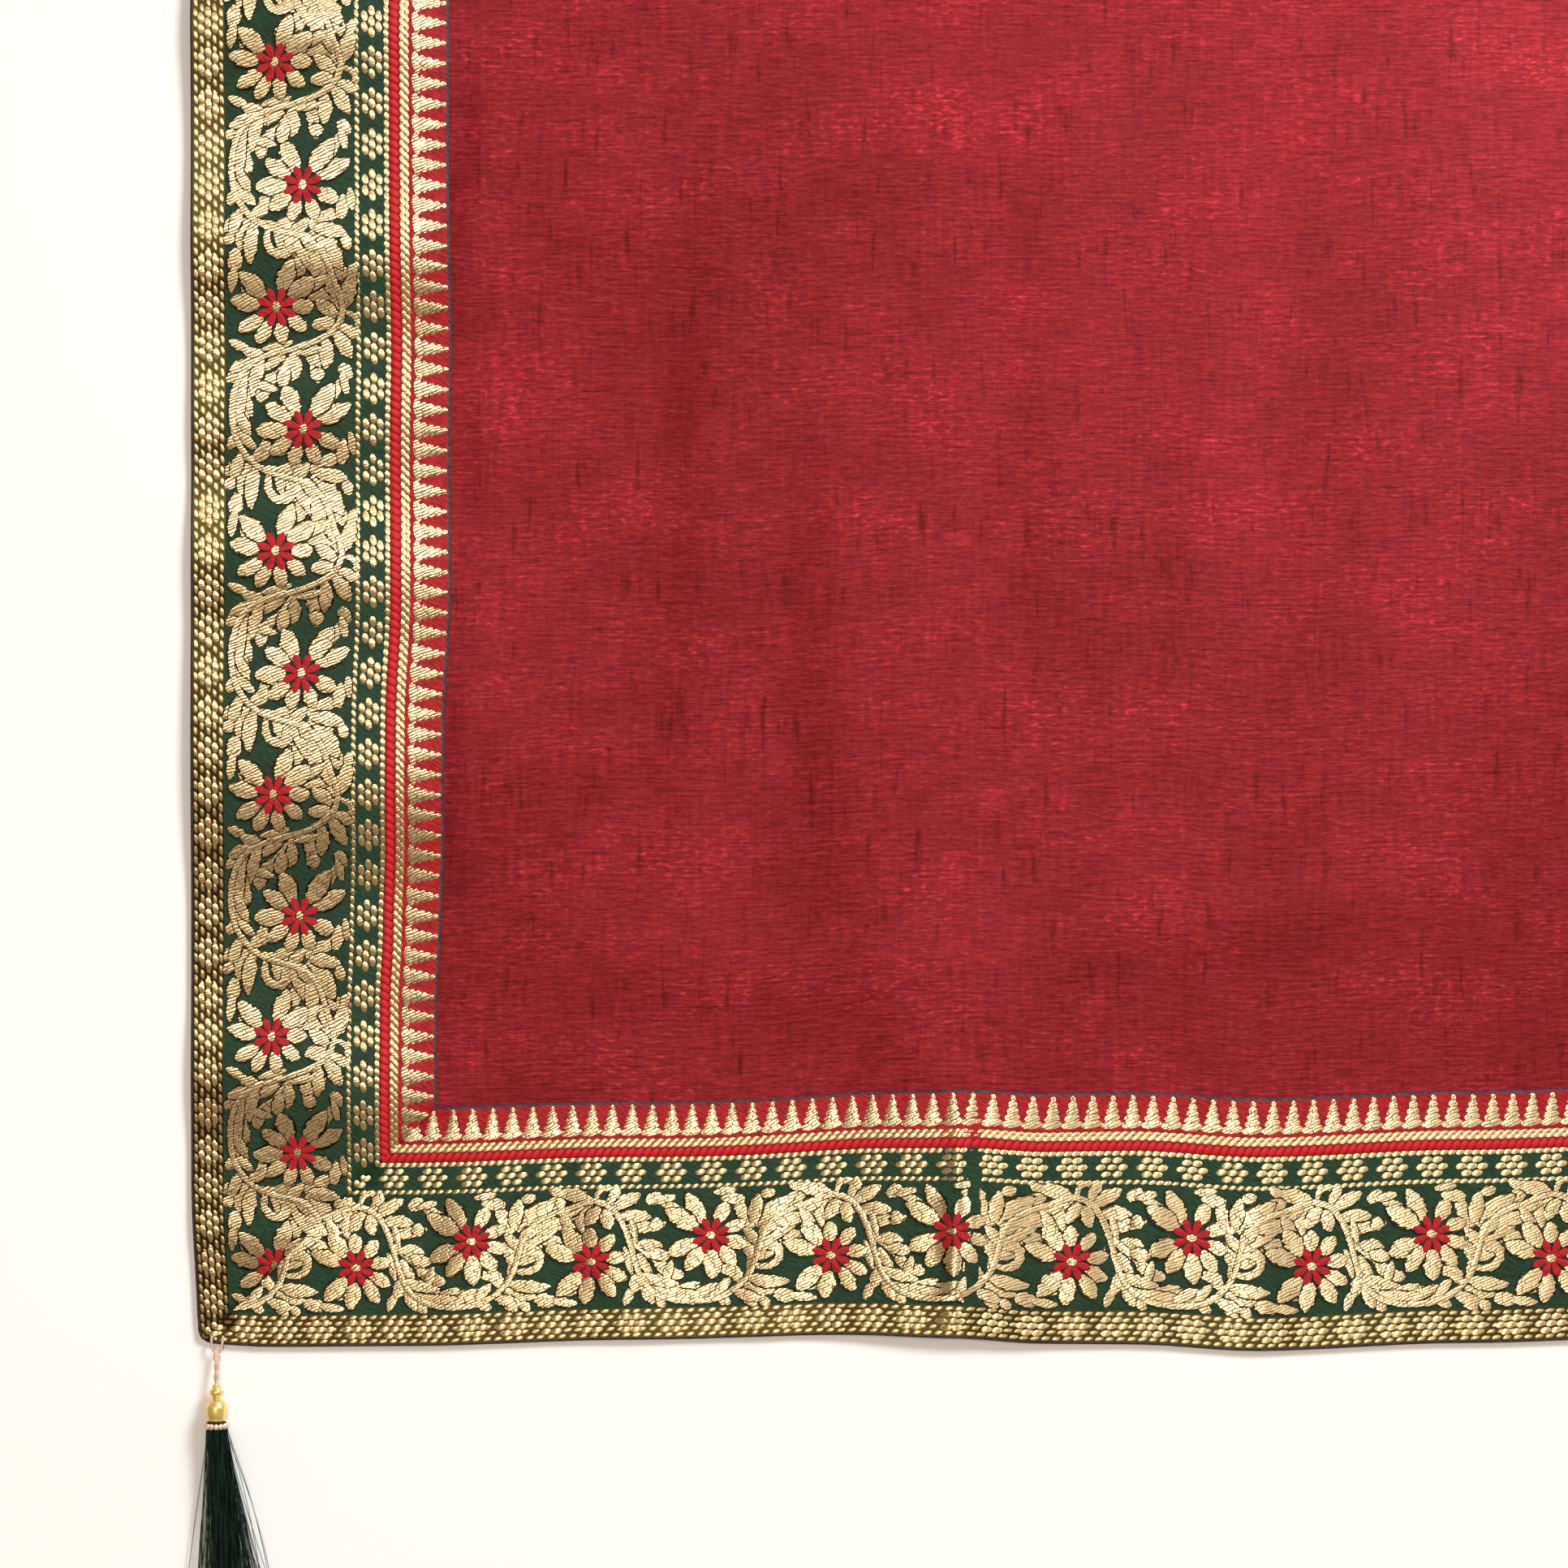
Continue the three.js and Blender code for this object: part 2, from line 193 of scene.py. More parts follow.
# s, t, turn from s towards t in degrees, reach each way along that, half width, height
CORNER_FOLDS = (
    (492, 330, 86, 330, 88, 6.5),
    (306, 60, 84, 190, 62, 3.6),
    (60, 255, 4, 170, 74, 3.0),
    (150, 470, 8, 230, 95, 3.8),
    (700, 210, 96, 290, 110, 6.0),
    (905, 150, 80, 210, 90, 4.5),
    (1040, 370, -6, 190, 95, 3.6),
)
GOLDEN = 0.618034  # spaces things over their range without a visible order
LONG_FOLDS = {
    "count": 26,
    "first": 720,
    "last": 5290,
    "inset": 90,  # the nearest that a fold's middle comes to a long side
    "turn": 14,  # the most that a fold leans off its way
    "reach": (300, 520),
    "half": (150, 205),
    "height": (4.5, 8.0),
}

# the finer creases, in the same columns: first those across the side tapes, then the rest
TAPE_CREASES = (
    (48, 522, 3, 95, 46, 4.2),
    (52, 432, -3, 95, 32, 2.8),
    (47, 368, 4, 90, 24, 1.4),
    (50, 311, -4, 100, 32, 3.2),
    (60, 219, 5, 95, 44, 2.4),
    (48, 109, -6, 95, 34, 2.6),
    (40, 44, -7, 70, 16, 0.9),
)
SEAM_CREASES = (
    (112, 452, 82, 62, 7, 1.5),
    (116, 356, 97, 50, 7, 1.2),
    (110, 232, 86, 60, 8, 1.7),
    (126, 215, 70, 40, 9, 1.0),
    (108, 118, 92, 40, 6, 0.9),
    (303, 40, 88, 74, 7, 2.0),
    (113, 46, 80, 60, 16, 0.9),
    (170, 40, 98, 64, 20, 1.1),
    (232, 36, 84, 60, 16, 0.9),
    (352, 34, 96, 58, 15, 1.0),
    (378, 40, 86, 56, 12, 0.9),
    (420, 44, 92, 70, 18, 1.1),
)
FIELD_CREASES = (
    (205, 330, 88, 210, 26, 1.6),
    (262, 250, 95, 190, 34, 1.9),
    (345, 380, 91, 240, 30, 1.8),
    (398, 300, 86, 230, 24, 1.5),
    (300, 470, 4, 120, 30, 1.2),
    (250, 150, -5, 140, 26, 1.2),
    (420, 170, 7, 120, 24, 1.1),
)


def fraction(value):
    return value - np.floor(value)


def mix(a, b, share):
    return a + (b - a) * share


def smoothstep(x, low, high):
    share = np.clip((x - low) / (high - low), 0, 1)
    return share * share * (3 - 2 * share)


def long_folds():
    """The folds farther up, which lie along and across the cloth by turns.

    Each size takes its chance from another multiple, so that long folds aren't always high ones.
    """
    rule = LONG_FOLDS
    folds = []
    for k in range(rule["count"]):
        chance = fraction((k + 1) * GOLDEN)
        folds.append((
            mix(rule["inset"], WIDTH - rule["inset"], fraction((k + 1) * GOLDEN * 1.7)),
            mix(rule["first"], rule["last"], k / (rule["count"] - 1)),
            (90 if k % 2 == 0 else 0) + mix(-rule["turn"], rule["turn"], chance),
            mix(*rule["reach"], chance),
            mix(*rule["half"], fraction(chance * 3)),
            mix(*rule["height"], fraction(chance * 5)),
        ))
    return folds


# how much one lap's creases differ from the first's: added to t and the turn, times half and height
UNEVEN = {"t": 30, "turn": 5, "half": (0.8, 1.25), "height": (0.7, 1.1)}
LAST_LAP = 560  # no lap starts nearer than this to the inner end
BY_TAPE = 130  # creases nearer the side than this stay there, and the others change sides by turns
SIDE_SEAM = 5  # the first seam creases are a side tape's, and the rest the pallu tape's
RIGHT_SHIFT = 34  # how much farther up the right tape's creases are than the left's
RIGHT_FROM = 90  # creases of the left tape under this are its corner's alone


def repeated_creases(creases, lap_length):
    """The same kind of crease on up the cloth, each a little different from the last."""
    out = []
    for k, (s, t, turn, reach, half, height) in enumerate(creases):
        for lap in range(1, int((LENGTH - LAST_LAP) / lap_length)):
            chance = fraction((k * 7 + lap) * GOLDEN)
            out.append((
                WIDTH - s if lap % 2 and s > BY_TAPE else s,
                t + lap * lap_length + mix(-UNEVEN["t"], UNEVEN["t"], chance),
                turn + mix(-UNEVEN["turn"], UNEVEN["turn"], fraction(chance * 3)),
                reach,
                half * mix(*UNEVEN["half"], chance),
                height * mix(*UNEVEN["height"], fraction(chance * 5)),
            ))
    return out


FOLDS = [*CORNER_FOLDS, *long_folds()]
left_creases = [*TAPE_CREASES, *repeated_creases(TAPE_CREASES, 470)]
right_creases = [(WIDTH - s, t + RIGHT_SHIFT, -turn, *sizes)
                 for s, t, turn, *sizes in left_creases if t > RIGHT_FROM]
pallu_creases = [(WIDTH - CORNER_ROUND - s, t, 180 - turn, *sizes)
                 for s, t, turn, *sizes in SEAM_CREASES[SIDE_SEAM:]]
CREASES = [
    *left_creases, *right_creases, *pallu_creases, *SEAM_CREASES, *FIELD_CREASES,
    *repeated_creases(SEAM_CREASES[:SIDE_SEAM], 470),
    *repeated_creases(FIELD_CREASES, 520),
]


def lift(s, t):
    """Height of the cloth's underside over the table: raised cosines that die away at both ends."""
    height = np.zeros_like(s)
    for fs, ft, turn, reach, half, size in [*FOLDS, *CREASES]:
        turn = np.radians(turn)
        along = (s - fs) * np.cos(turn) + (t - ft) * np.sin(turn)
        across = (t - ft) * np.cos(turn) - (s - fs) * np.sin(turn)
        near = (np.abs(along) < reach) & (np.abs(across) < half)
        ridge = np.cos(np.pi / 2 * along[near] / reach) ** 2
        height[near] += size * ridge * np.cos(np.pi / 2 * across[near] / half) ** 2
    return height


# place, out: how far the pallu edge wanders off straight, how far the pallu tape's inner edge is
# drawn in by its sewing, and how far the left tape's inner edge leans
PALLU_WANDER = (
    (0, -1.6), (30, -2.9), (85, -2.6), (180, 0), (265, 2.0), (300, 1.0), (340, -1.6), (372, -1.9),
    (420, -4.5), (500, -1.4), (600, 1.6), (760, -2.0), (900, 1.2), (1010, -1.0), (1100, 0.4),
)
PALLU_DRAW = (
    (0, -6.1), (150, -6.2), (215, -6.6), (330, -1.6), (380, -0.8), (700, -1.0), (900, -3.5),
    (1100, -4.5),
)
LEFT_LEAN = (
    (0, -3.2), (140, -3.2), (170, -1.6), (205, -0.2), (250, 0), (300, 2.6), (345, 2.0), (400, 2.8),
    (470, 2.0), (620, 2.4), (1200, 0), (5500, 0),
)
CORNER_IN = {"size": 2.6, "reach": 70}  # how far the pallu corners are pulled in from the side
WANDER_FADES = 620  # how far up the cloth the pallu edge's wander reaches
LONG_WANDER = {"size": 2.4, "wave": 830}  # the long sides' own slow wander


def eased(rows, at):
    """Reads a table of (place, out), easing from one row to the next."""
    places, outs = np.array(rows).T
    k = np.clip(np.searchsorted(places, at, side="right") - 1, 0, len(rows) - 2)
    return mix(outs[k], outs[k + 1], smoothstep(at, places[k], places[k + 1]))


def lay(s, t, above):
    """Where cut points lie, in metres, with `above` their height over the cloth's underside."""
    side = np.minimum(s, WIDTH - s)
    inward = np.where(s < WIDTH / 2, 1, -1)
    p = np.clip(1 - side / CORNER_ROUND, 0, 1)
    q = np.clip(1 - t / CORNER_ROUND, 0, 1)
    side_drawn = p * (1 - np.sqrt(1 - q * q / 2)) * CORNER_ROUND
    t_drawn = q * (1 - np.sqrt(1 - p * p / 2)) * CORNER_ROUND
    lean = eased(LEFT_LEAN, t) * np.clip(s / TAPE, 0, 1) * (1 - smoothstep(s, TAPE, WIDTH / 2))
    sway = LONG_WANDER["size"] * np.sin(2 * np.pi * t / LONG_WANDER["wave"])
    sway = sway * smoothstep(t, WANDER_FADES, 2 * WANDER_FADES)
    pulled = CORNER_IN["size"] * (1 - smoothstep(side, 0, TAPE))
    pulled = pulled * (1 - smoothstep(t, 0, CORNER_IN["reach"]))
    wander = eased(PALLU_WANDER, s) * (1 - smoothstep(t, 0, WANDER_FADES))
    draw = eased(PALLU_DRAW, s) * np.clip(t / TAPE, 0, 1) * (1 - smoothstep(t, TAPE, WANDER_FADES))
    x = s - WIDTH / 2 + lean + sway + inward * (side_drawn + pulled)
    y = t + PALLU_Y + t_drawn + wander + draw
    return np.stack([x, y, lift(s, t) + above], 1) * MM


# ------------------------------------------------------------------------------ body cloth
# One length of crimson raw silk, the tape sewn on over its edges and its inner end turned under in
# a narrow hem. Slubs in the weft are its fine broken lines across, pulled warp its darker streaks.

CLOTH = 1.0  # top of the silk over its underside
SILK_WALL = 0.9
HEM = {"width": 10, "step": 1, "rise": 1.0, "flat": 3, "lip": 0.3, "turn": 0.5}


def spaced(*stretches):
    """Marks from each stretch's start to its end, at its own step."""
    marks = [np.arange(start, end, step) for start, end, step in stretches]
    return np.append(np.concatenate(marks), stretches[-1][1]).astype(float)


def grid_faces(rows, columns):
    k = np.arange(rows * columns).reshape(rows, columns)
    corners = (k[:-1, :-1], k[:-1, 1:], k[1:, 1:], k[1:, :-1])
    return np.stack([corner.ravel() for corner in corners], 1)


def add_uv(mesh, name, points):
    """A UV map that gives each corner its point's own first two coordinates."""
    corner = np.zeros(len(mesh.loops), dtype=int)
    mesh.loops.foreach_get("vertex_index", corner)
    layer = mesh.uv_layers.new(name=name)
    layer.uv.foreach_set("vector", np.ascontiguousarray(points[corner, :2]).ravel())


hem_from = LENGTH - HEM["width"]
lip = LENGTH - HEM["lip"]
fold = LENGTH + HEM["turn"]
top = CLOTH + HEM["rise"]
low = CLOTH - SILK_WALL
# from, to, step of the grid: fine at turned edges, wide under the tape, close where creases are small
UNDER_TAPE = ((0, CORNER_ROUND, 2), (CORNER_ROUND, TAPE - 4, 15))
across = spaced(*UNDER_TAPE, (TAPE - 4, 540, 7), (540, WIDTH - CORNER_ROUND, 24),
                (WIDTH - CORNER_ROUND, WIDTH, 2))
along = spaced(*UNDER_TAPE, (TAPE - 4, 534, 7), (534, hem_from - HEM["step"], 24))
# t and height of the rows that turn the hem under
hem_rows = np.array([
    (hem_from, top), (hem_from + HEM["flat"], top), (lip, top), (fold, top - HEM["turn"]),
    (fold, low + HEM["turn"]), (lip, low), (hem_from, low),
])
t_rows = np.concatenate([along, hem_rows[:, 0]])
height_rows = np.concatenate([np.full(len(along), CLOTH), hem_rows[:, 1]])
s_grid, t_grid = np.meshgrid(across, t_rows)
height_grid = np.repeat(height_rows, len(across))
laid = lay(s_grid.ravel(), t_grid.ravel(), height_grid)
silk = mesh_object("silk", laid, grid_faces(len(t_rows), len(across)))
add_uv(silk.data, "cut", np.stack([s_grid.ravel(), t_grid.ravel()], 1) * MM)

wall = silk.modifiers.new("wall", "SOLIDIFY")
wall.thickness = SILK_WALL * MM
wall.offset = -1


def stretched_noise(tree, coordinates, size_mm, turn=0, detail=2.0, **inputs):
    """Noise whose blots are size_mm long along x and y of the coordinates."""
    mapping = node(tree, "ShaderNodeMapping", {
        "Vector": coordinates,
        "Rotation": (0, 0, np.radians(turn)),
        "Scale": (size_mm[0] * MM, size_mm[1] * MM, 1),
    }, vector_type="TEXTURE")
    return node(tree, "ShaderNodeTexNoise", {
        "Vector": mapping.outputs[0], "Scale": 1.0, "Detail": detail, **inputs,
    }).outputs["Fac"]


def math(tree, operation, a, b=0.0, clamp=False):
    made = node(tree, "ShaderNodeMath", {0: a, 1: b}, operation=operation, use_clamp=clamp)
    return made.outputs[0]


def ramp(tree, value, stops):
    """A colour ramp through (place, colour) stops."""
    made = node(tree, "ShaderNodeValToRGB", {"Fac": value})
    elements = made.color_ramp.elements
    elements[0].position, elements[0].color = stops[0]
    elements[1].position, elements[1].color = stops[-1]
    for place, colour in stops[1:-1]:
        elements.new(place).color = colour
    return made.outputs["Color"]


def stretch(tree, value, low, high):
    """The value between low and high, as 0 to 1."""
    return node(tree, "ShaderNodeMapRange", {
        "Value": value, "From Min": low, "From Max": high,
    }).outputs[0]


def weighed(tree, start, *parts):
    """A starting value and (value, weight) parts added up."""
    total = start
    for value, weight in parts:
        total = math(tree, "ADD", math(tree, "MULTIPLY", value, weight), total)
    return total


def silk_finish():
    """Slubbed silk: fine grain, short slubs, pulled threads both ways, and glints in clusters: painted
    highlights in its colour, raised a little in its relief.
    """
    material = finish_of(
        "crimson_silk", Metallic=0.45, Roughness=0.5, Anisotropic=0.5, Anisotropic_Rotation=0.25,
        Specular_IOR_Level=0.12, Sheen_Weight=0.02, Sheen_Tint=srgb(226, 92, 96),
    )
    tree = material.node_tree
    cut = node(tree, "ShaderNodeUVMap", uv_map="cut").outputs[0]
    grain = stretched_noise(tree, cut, (3.2, 1.0), detail=3.0)
    slub = stretched_noise(tree, cut, (14, 1.1), detail=3.0)
    warp = stretched_noise(tree, cut, (2.2, 22), detail=3.0)
    patches = stretched_noise(tree, cut, (90, 120), detail=2.0)
    warp_pulls = stretch(tree, stretched_noise(tree, cut, (3.8, 26), detail=3.0), 0.6, 0.82)
    weft_pulls = stretch(tree, stretched_noise(tree, cut, (24, 1.6), detail=2.0), 0.6, 0.8)
    glints = stretch(tree, stretched_noise(tree, cut, (3.6, 1.5), detail=2.0), 0.52, 0.73)
    clusters = stretch(tree, stretched_noise(tree, cut, (52, 26), detail=4.0), 0.4, 0.74)
    # Painted highlights: bright glint flecks in clusters, added to the colour's tone and a little to
    # the relief.
    painted_glints = math(tree, "MULTIPLY", glints, clusters)
    ribs = math(tree, "MULTIPLY", slub, clusters)
    relief = weighed(tree, -0.03, (grain, 0.5), (slub, 0.5), (ribs, 0.1), (warp, 0.22),
                     (warp_pulls, -0.28), (weft_pulls, -0.16), (painted_glints, 0.18))
    tone = weighed(tree, 0.08, (relief, 0.7), (patches, 0.15), (painted_glints, 0.16))
    colour = ramp(tree, tone, (
        (0.40, srgb(85, 16, 21)),
        (0.54, srgb(120, 26, 32)),
        (0.64, srgb(143, 33, 40)),
        (0.86, srgb(200, 55, 62)),
    ))
    return dressed(material, colour, relief, shine="cut")


silk.data.materials.append(silk_finish())
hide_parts("field")
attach(silk, "root")


# ------------------------------------------------------------------------------ the tape
# A woven tape, 100 mm wide, sewn on over the silk's edge down both long sides and across the pallu,
# and mitred at the corners. Its ground is silk in bands of olive, green and red between two dark
# selvedges. A point on it is given along the tape and in from its outer edge.

TAPE_TOP = 2.0  # the ground's face over the silk's underside
TAPE_WALL = 0.7
SEAM = 0.12  # each side's share of the gap at a mitre

# from the outer edge: start of the band, finish, columns
BANDS = (
    (0, "selvedge", (0,)),
    (0.8, "beaded", (0.8, 3.5, CORNER_ROUND, 9.6)),
    (13.3, "green", (13.3, 25, 37, 50, 63.2)),
    (77, "cord_bed", (77,)),
    (81, "red", (81, 86, 92)),
    (99, "selvedge", (99, TAPE)),
)

# side, span along the tape, the cuts: a point, and the direction cut away
SIDES = {
    "left": ((-LENGTH, 0), (((0, SEAM), (1, 1)), ((-LENGTH, 0), (-1, 0)))),
    "pallu": ((0, WIDTH), (((0, -SEAM), (-1, 1)), ((WIDTH, -SEAM), (1, 1)))),
    "right": ((0, LENGTH), (((0, SEAM), (-1, 1)), ((LENGTH, 0), (1, 0)))),
}


def cut_of(side, along, inwards):
    """A tape's point as the cloth's own s and t."""
    if side == "left":
        return inwards, -along
    if side == "right":
        return WIDTH - inwards, along
    return along, inwards


def sew_on(made, side):
    """Cuts a flat piece of tape at its mitres, gives it its UV map and lays it on silk and hem."""
    shape = bmesh.new()
    shape.from_mesh(made.data)

    def cut(along, inwards, outwards, clear):
        bmesh.ops.bisect_plane(
            shape,
            geom=[*shape.verts, *shape.edges, *shape.faces],
            plane_co=(along * MM, inwards * MM, 0),
            plane_no=(*outwards, 0),
            clear_outer=clear,
        )

    for (along, inwards), outwards in SIDES[side][1]:
        shift = -SEAM if side != "pallu" else 0
        cut(along + (shift if outwards[1] else 0) * outwards[0], inwards, outwards, True)
    if side != "pallu":
        for step_edge in (hem_from - HEM["step"], hem_from):
            cut(-step_edge if side == "left" else step_edge, 0, (1, 0), False)
    shape.to_mesh(made.data)
    shape.free()
    flat = np.zeros(len(made.data.vertices) * 3)
    made.data.vertices.foreach_get("co", flat)
    flat = flat.reshape(-1, 3)
    add_uv(made.data, "tape", flat)
    s, t = cut_of(side, flat[:, 0] / MM, flat[:, 1] / MM)
    add_uv(made.data, "cut", np.stack([s, t], 1) * MM)
    over_hem = HEM["rise"] * np.clip((t - hem_from) / HEM["step"] + 1, 0, 1)
    made.data.vertices.foreach_set("co", lay(s, t, flat[:, 2] / MM + over_hem).ravel())
    made.data.update()


def silk_ground(name, dark, light, **sockets):
    """Plain woven silk under the gold: a fine slanting twill in two tones of one colour."""
    material = finish_of(name, **{"Roughness": 0.5, "Specular_IOR_Level": 0.2, **sockets})
    tree = material.node_tree
    place = node(tree, "ShaderNodeTexCoord").outputs["Object"]
    twill = stretched_noise(tree, place, (3.2, 0.7), turn=-32, detail=1.0)
    wear = stretched_noise(tree, place, (9, 9), detail=3.0)
    tone = weighed(tree, 0.0, (twill, 0.75), (wear, 0.3))
    return dressed(material, ramp(tree, tone, ((0.38, dark), (0.66, light))), twill)


# pitch along the tape, depth of a row, how far a float slants over it, where the first row starts,
# half a float's length and half its width as shares of those, and how square its outline is
BEADS = {"pitch": 4.2, "row": 2.5, "slant": 0.4, "first": 0.8,
         "long": 0.44, "wide": 0.36, "square": 2.4}


def beaded_finish():
    """The outer band: rows of short slanting gold floats, laid like bricks on a dark olive ground."""
    material = finish_of(
        "beaded_twill", Metallic=1.0, Roughness=0.4, Anisotropic=0.9, Anisotropic_Rotation=0.25,
    )
    tree = material.node_tree
    at = node(tree, "ShaderNodeUVMap", uv_map="tape").outputs[0]
    apart = node(tree, "ShaderNodeSeparateXYZ", {0: at}).outputs
    inside = math(tree, "SUBTRACT", apart["Y"], BEADS["first"] * MM)
    down = math(tree, "DIVIDE", inside, BEADS["row"] * MM)
    row = math(tree, "FLOOR", down)
    v = math(tree, "SUBTRACT", math(tree, "FRACT", down), 0.5)
    along = math(tree, "DIVIDE", apart["X"], BEADS["pitch"] * MM)
    along = math(tree, "ADD", along, math(tree, "MULTIPLY", row, 0.5))
    along = math(tree, "SUBTRACT", along, math(tree, "MULTIPLY", v, BEADS["slant"]))
    u = math(tree, "SUBTRACT", math(tree, "FRACT", along), 0.5)
    parts = [(stretched_noise(tree, at, (3.5, 1.8), detail=2.0), 1.3)]
    for off, half in ((u, BEADS["long"]), (v, BEADS["wide"])):
        share = math(tree, "ABSOLUTE", math(tree, "DIVIDE", off, half))
        parts.append((math(tree, "POWER", share, BEADS["square"]), 1.0))
    out = weighed(tree, -0.6, *parts)
    colour = ramp(tree, out, (
        (0.3, srgb(220, 194, 142)), (0.75, srgb(142, 118, 74)), (1.0, srgb(70, 64, 36)),
    ))
    height = math(tree, "SUBTRACT", 1.0, out, clamp=True)
    return dressed(material, colour, height, 0.6, 0.25, shine="tape")


GROUNDS = {
    "selvedge": silk_ground("selvedge_silk", srgb(40, 38, 42), srgb(74, 70, 74)),
    "beaded": beaded_finish(),
    "green": silk_ground("green_silk", srgb(18, 45, 28), srgb(35, 66, 42)),
    "cord_bed": silk_ground("cord_bed_silk", srgb(110, 8, 14), srgb(150, 16, 22)),
    "red": silk_ground("red_silk", srgb(128, 10, 18), srgb(186, 28, 34)),
}

TAPE_STEP = 9  # between the rows of a tape's grid
columns = np.array([c for _, _, marks in BANDS for c in marks], dtype=float)
finishes = list(GROUNDS)
band_of_column = [finishes.index(name) for _, name, marks in BANDS for _ in marks][:-1]

for side, (span, _) in SIDES.items():
    rows = spaced((span[0] - 1, span[1] + 1, TAPE_STEP))
    p_grid, c_grid = np.meshgrid(rows, columns)
    flat = np.stack([p_grid.ravel(), c_grid.ravel(), np.full(p_grid.size, TAPE_TOP)], 1) * MM
    tape = mesh_object(f"tape_{side}", flat, grid_faces(len(columns), len(rows)))
    for ground in GROUNDS.values():
        tape.data.materials.append(ground)
    tape.data.polygons.foreach_set("material_index", np.repeat(band_of_column, len(rows) - 1))
    sew_on(tape, side)
    wall = tape.modifiers.new("wall", "SOLIDIFY")
    wall.thickness = TAPE_WALL * MM
    wall.offset = -1
    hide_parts(f"border_{side}")
    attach(tape, "root")


# ------------------------------------------------------------------------------ the vine
# Gold thread woven in as long floats that stand proud: a stem that waves between two flowers to the
# repeat, with leaves off both its sides. Each form is dark at its edge: partly where its floats are
# bound, partly painted shade where it meets the ground.

REPEAT = 93.8  # one of each flower
STEM_HALF = 1.35
STEM_EDGE = 0.2  # how whole the stem's edges are
LAYER = 0.1  # how far one layer of forms lies over the next
# the layer of each kind of form; leaves take the first four by turns, and petals their two
LAYERS = {"leaves": (0, 1, 2, 3), "stem": 4, "petals": (5, 6), "hearts": 7, "eye": 8}
OWN = 0.05  # share of a layer between forms on the same one, so that no two faces coincide
OWN_STEPS = 19  # leaves take as many such steps in turn
OVER_GROUND = 0.04  # the lowest form's edge over the tape's ground
PUFF = 0.08  # how far a form's middle stands over its edge
FULL = 0.9  # half the width from which a form is whole in its middle
RIDGE = 0.55  # share of a form's half width that its crown takes
CURL = {"bend": 150, "tighten": 1.6, "points": 9}  # what bends more than this tightens as it goes
FINE = 33  # points on a form's line before it takes its outline's
PETAL_FULL = 1.14  # how much fuller a petal is than its table's width
LEAF_FULL = 1.46

# share of the length, share of the half width
OUTLINES = {
    "pointed": ((0, 0.35), (0.2, 0.84), (0.42, 1), (0.66, 0.84), (0.86, 0.44), (1, 0.03)),
    "blunt": ((0, 0.4), (0.2, 0.82), (0.46, 1), (0.72, 0.86), (0.9, 0.46), (1, 0.06)),
    "lobe": ((0, 0.5), (0.24, 0.88), (0.48, 1), (0.74, 0.78), (0.91, 0.34), (1, 0.03)),
    "curl": ((0, 0.35), (0.2, 0.55), (0.55, 0.62), (0.8, 0.9), (0.93, 1), (1, 0.3)),
    "heart": ((0, 0.45), (0.4, 0.82), (0.7, 1), (0.87, 0.66), (1, 0.12)),
    "branch": ((0, 1), (0.5, 1), (1, 1)),
}

# flower: centre, then each petal's angle, where it starts and ends, width, outline
FLOWERS = {
    "low": ((0, 33), (
        (161, 6.2, 20.0, 7.4, "pointed"), (226, 6.2, 20.0, 7.6, "pointed"),
        (261, 6.4, 18.6, 7.4, "pointed"), (302, 6.4, 17.6, 6.2, "blunt"),
        (332, 6.2, 16.0, 6.0, "blunt"), (10, 6.0, 14.6, 6.0, "blunt"),
        (52, 6.0, 14.6, 6.0, "blunt"), (92, 6.2, 14.6, 6.4, "blunt"),
        (127, 6.2, 18.6, 7.6, "blunt"),
    )),
    "high": ((46.9, 43.5), (
        (118, 6.4, 21.5, 7.2, "pointed"), (147, 6.4, 22.0, 8.0, "pointed"),
        (204, 6.2, 18.6, 7.8, "blunt"), (236, 6.2, 17.8, 6.6, "blunt"),
        (272, 6.2, 18.6, 7.6, "blunt"), (307, 6.2, 16.2, 6.2, "blunt"),
        (342, 6.0, 14.8, 6.0, "blunt"), (22, 6.0, 14.6, 6.0, "blunt"),
        (66, 6.2, 15.4, 6.6, "blunt"),
    )),
}
HEART = {"wedges": 8, "from": 1.5, "to": 7.9, "width": 3.1, "turn": 22.5}
EYE = {"length": 4.0, "width": 3.8}

# points on the stem's middle, one repeat
STEM = (
    (-9, 55.5), (1, 58.5), (9, 54.5), (14, 45), (17, 34), (20.5, 24.5), (28, 18), (40, 15.8),
    (52, 18), (60.5, 25), (64.5, 34), (67, 43.5), (73, 51),
)
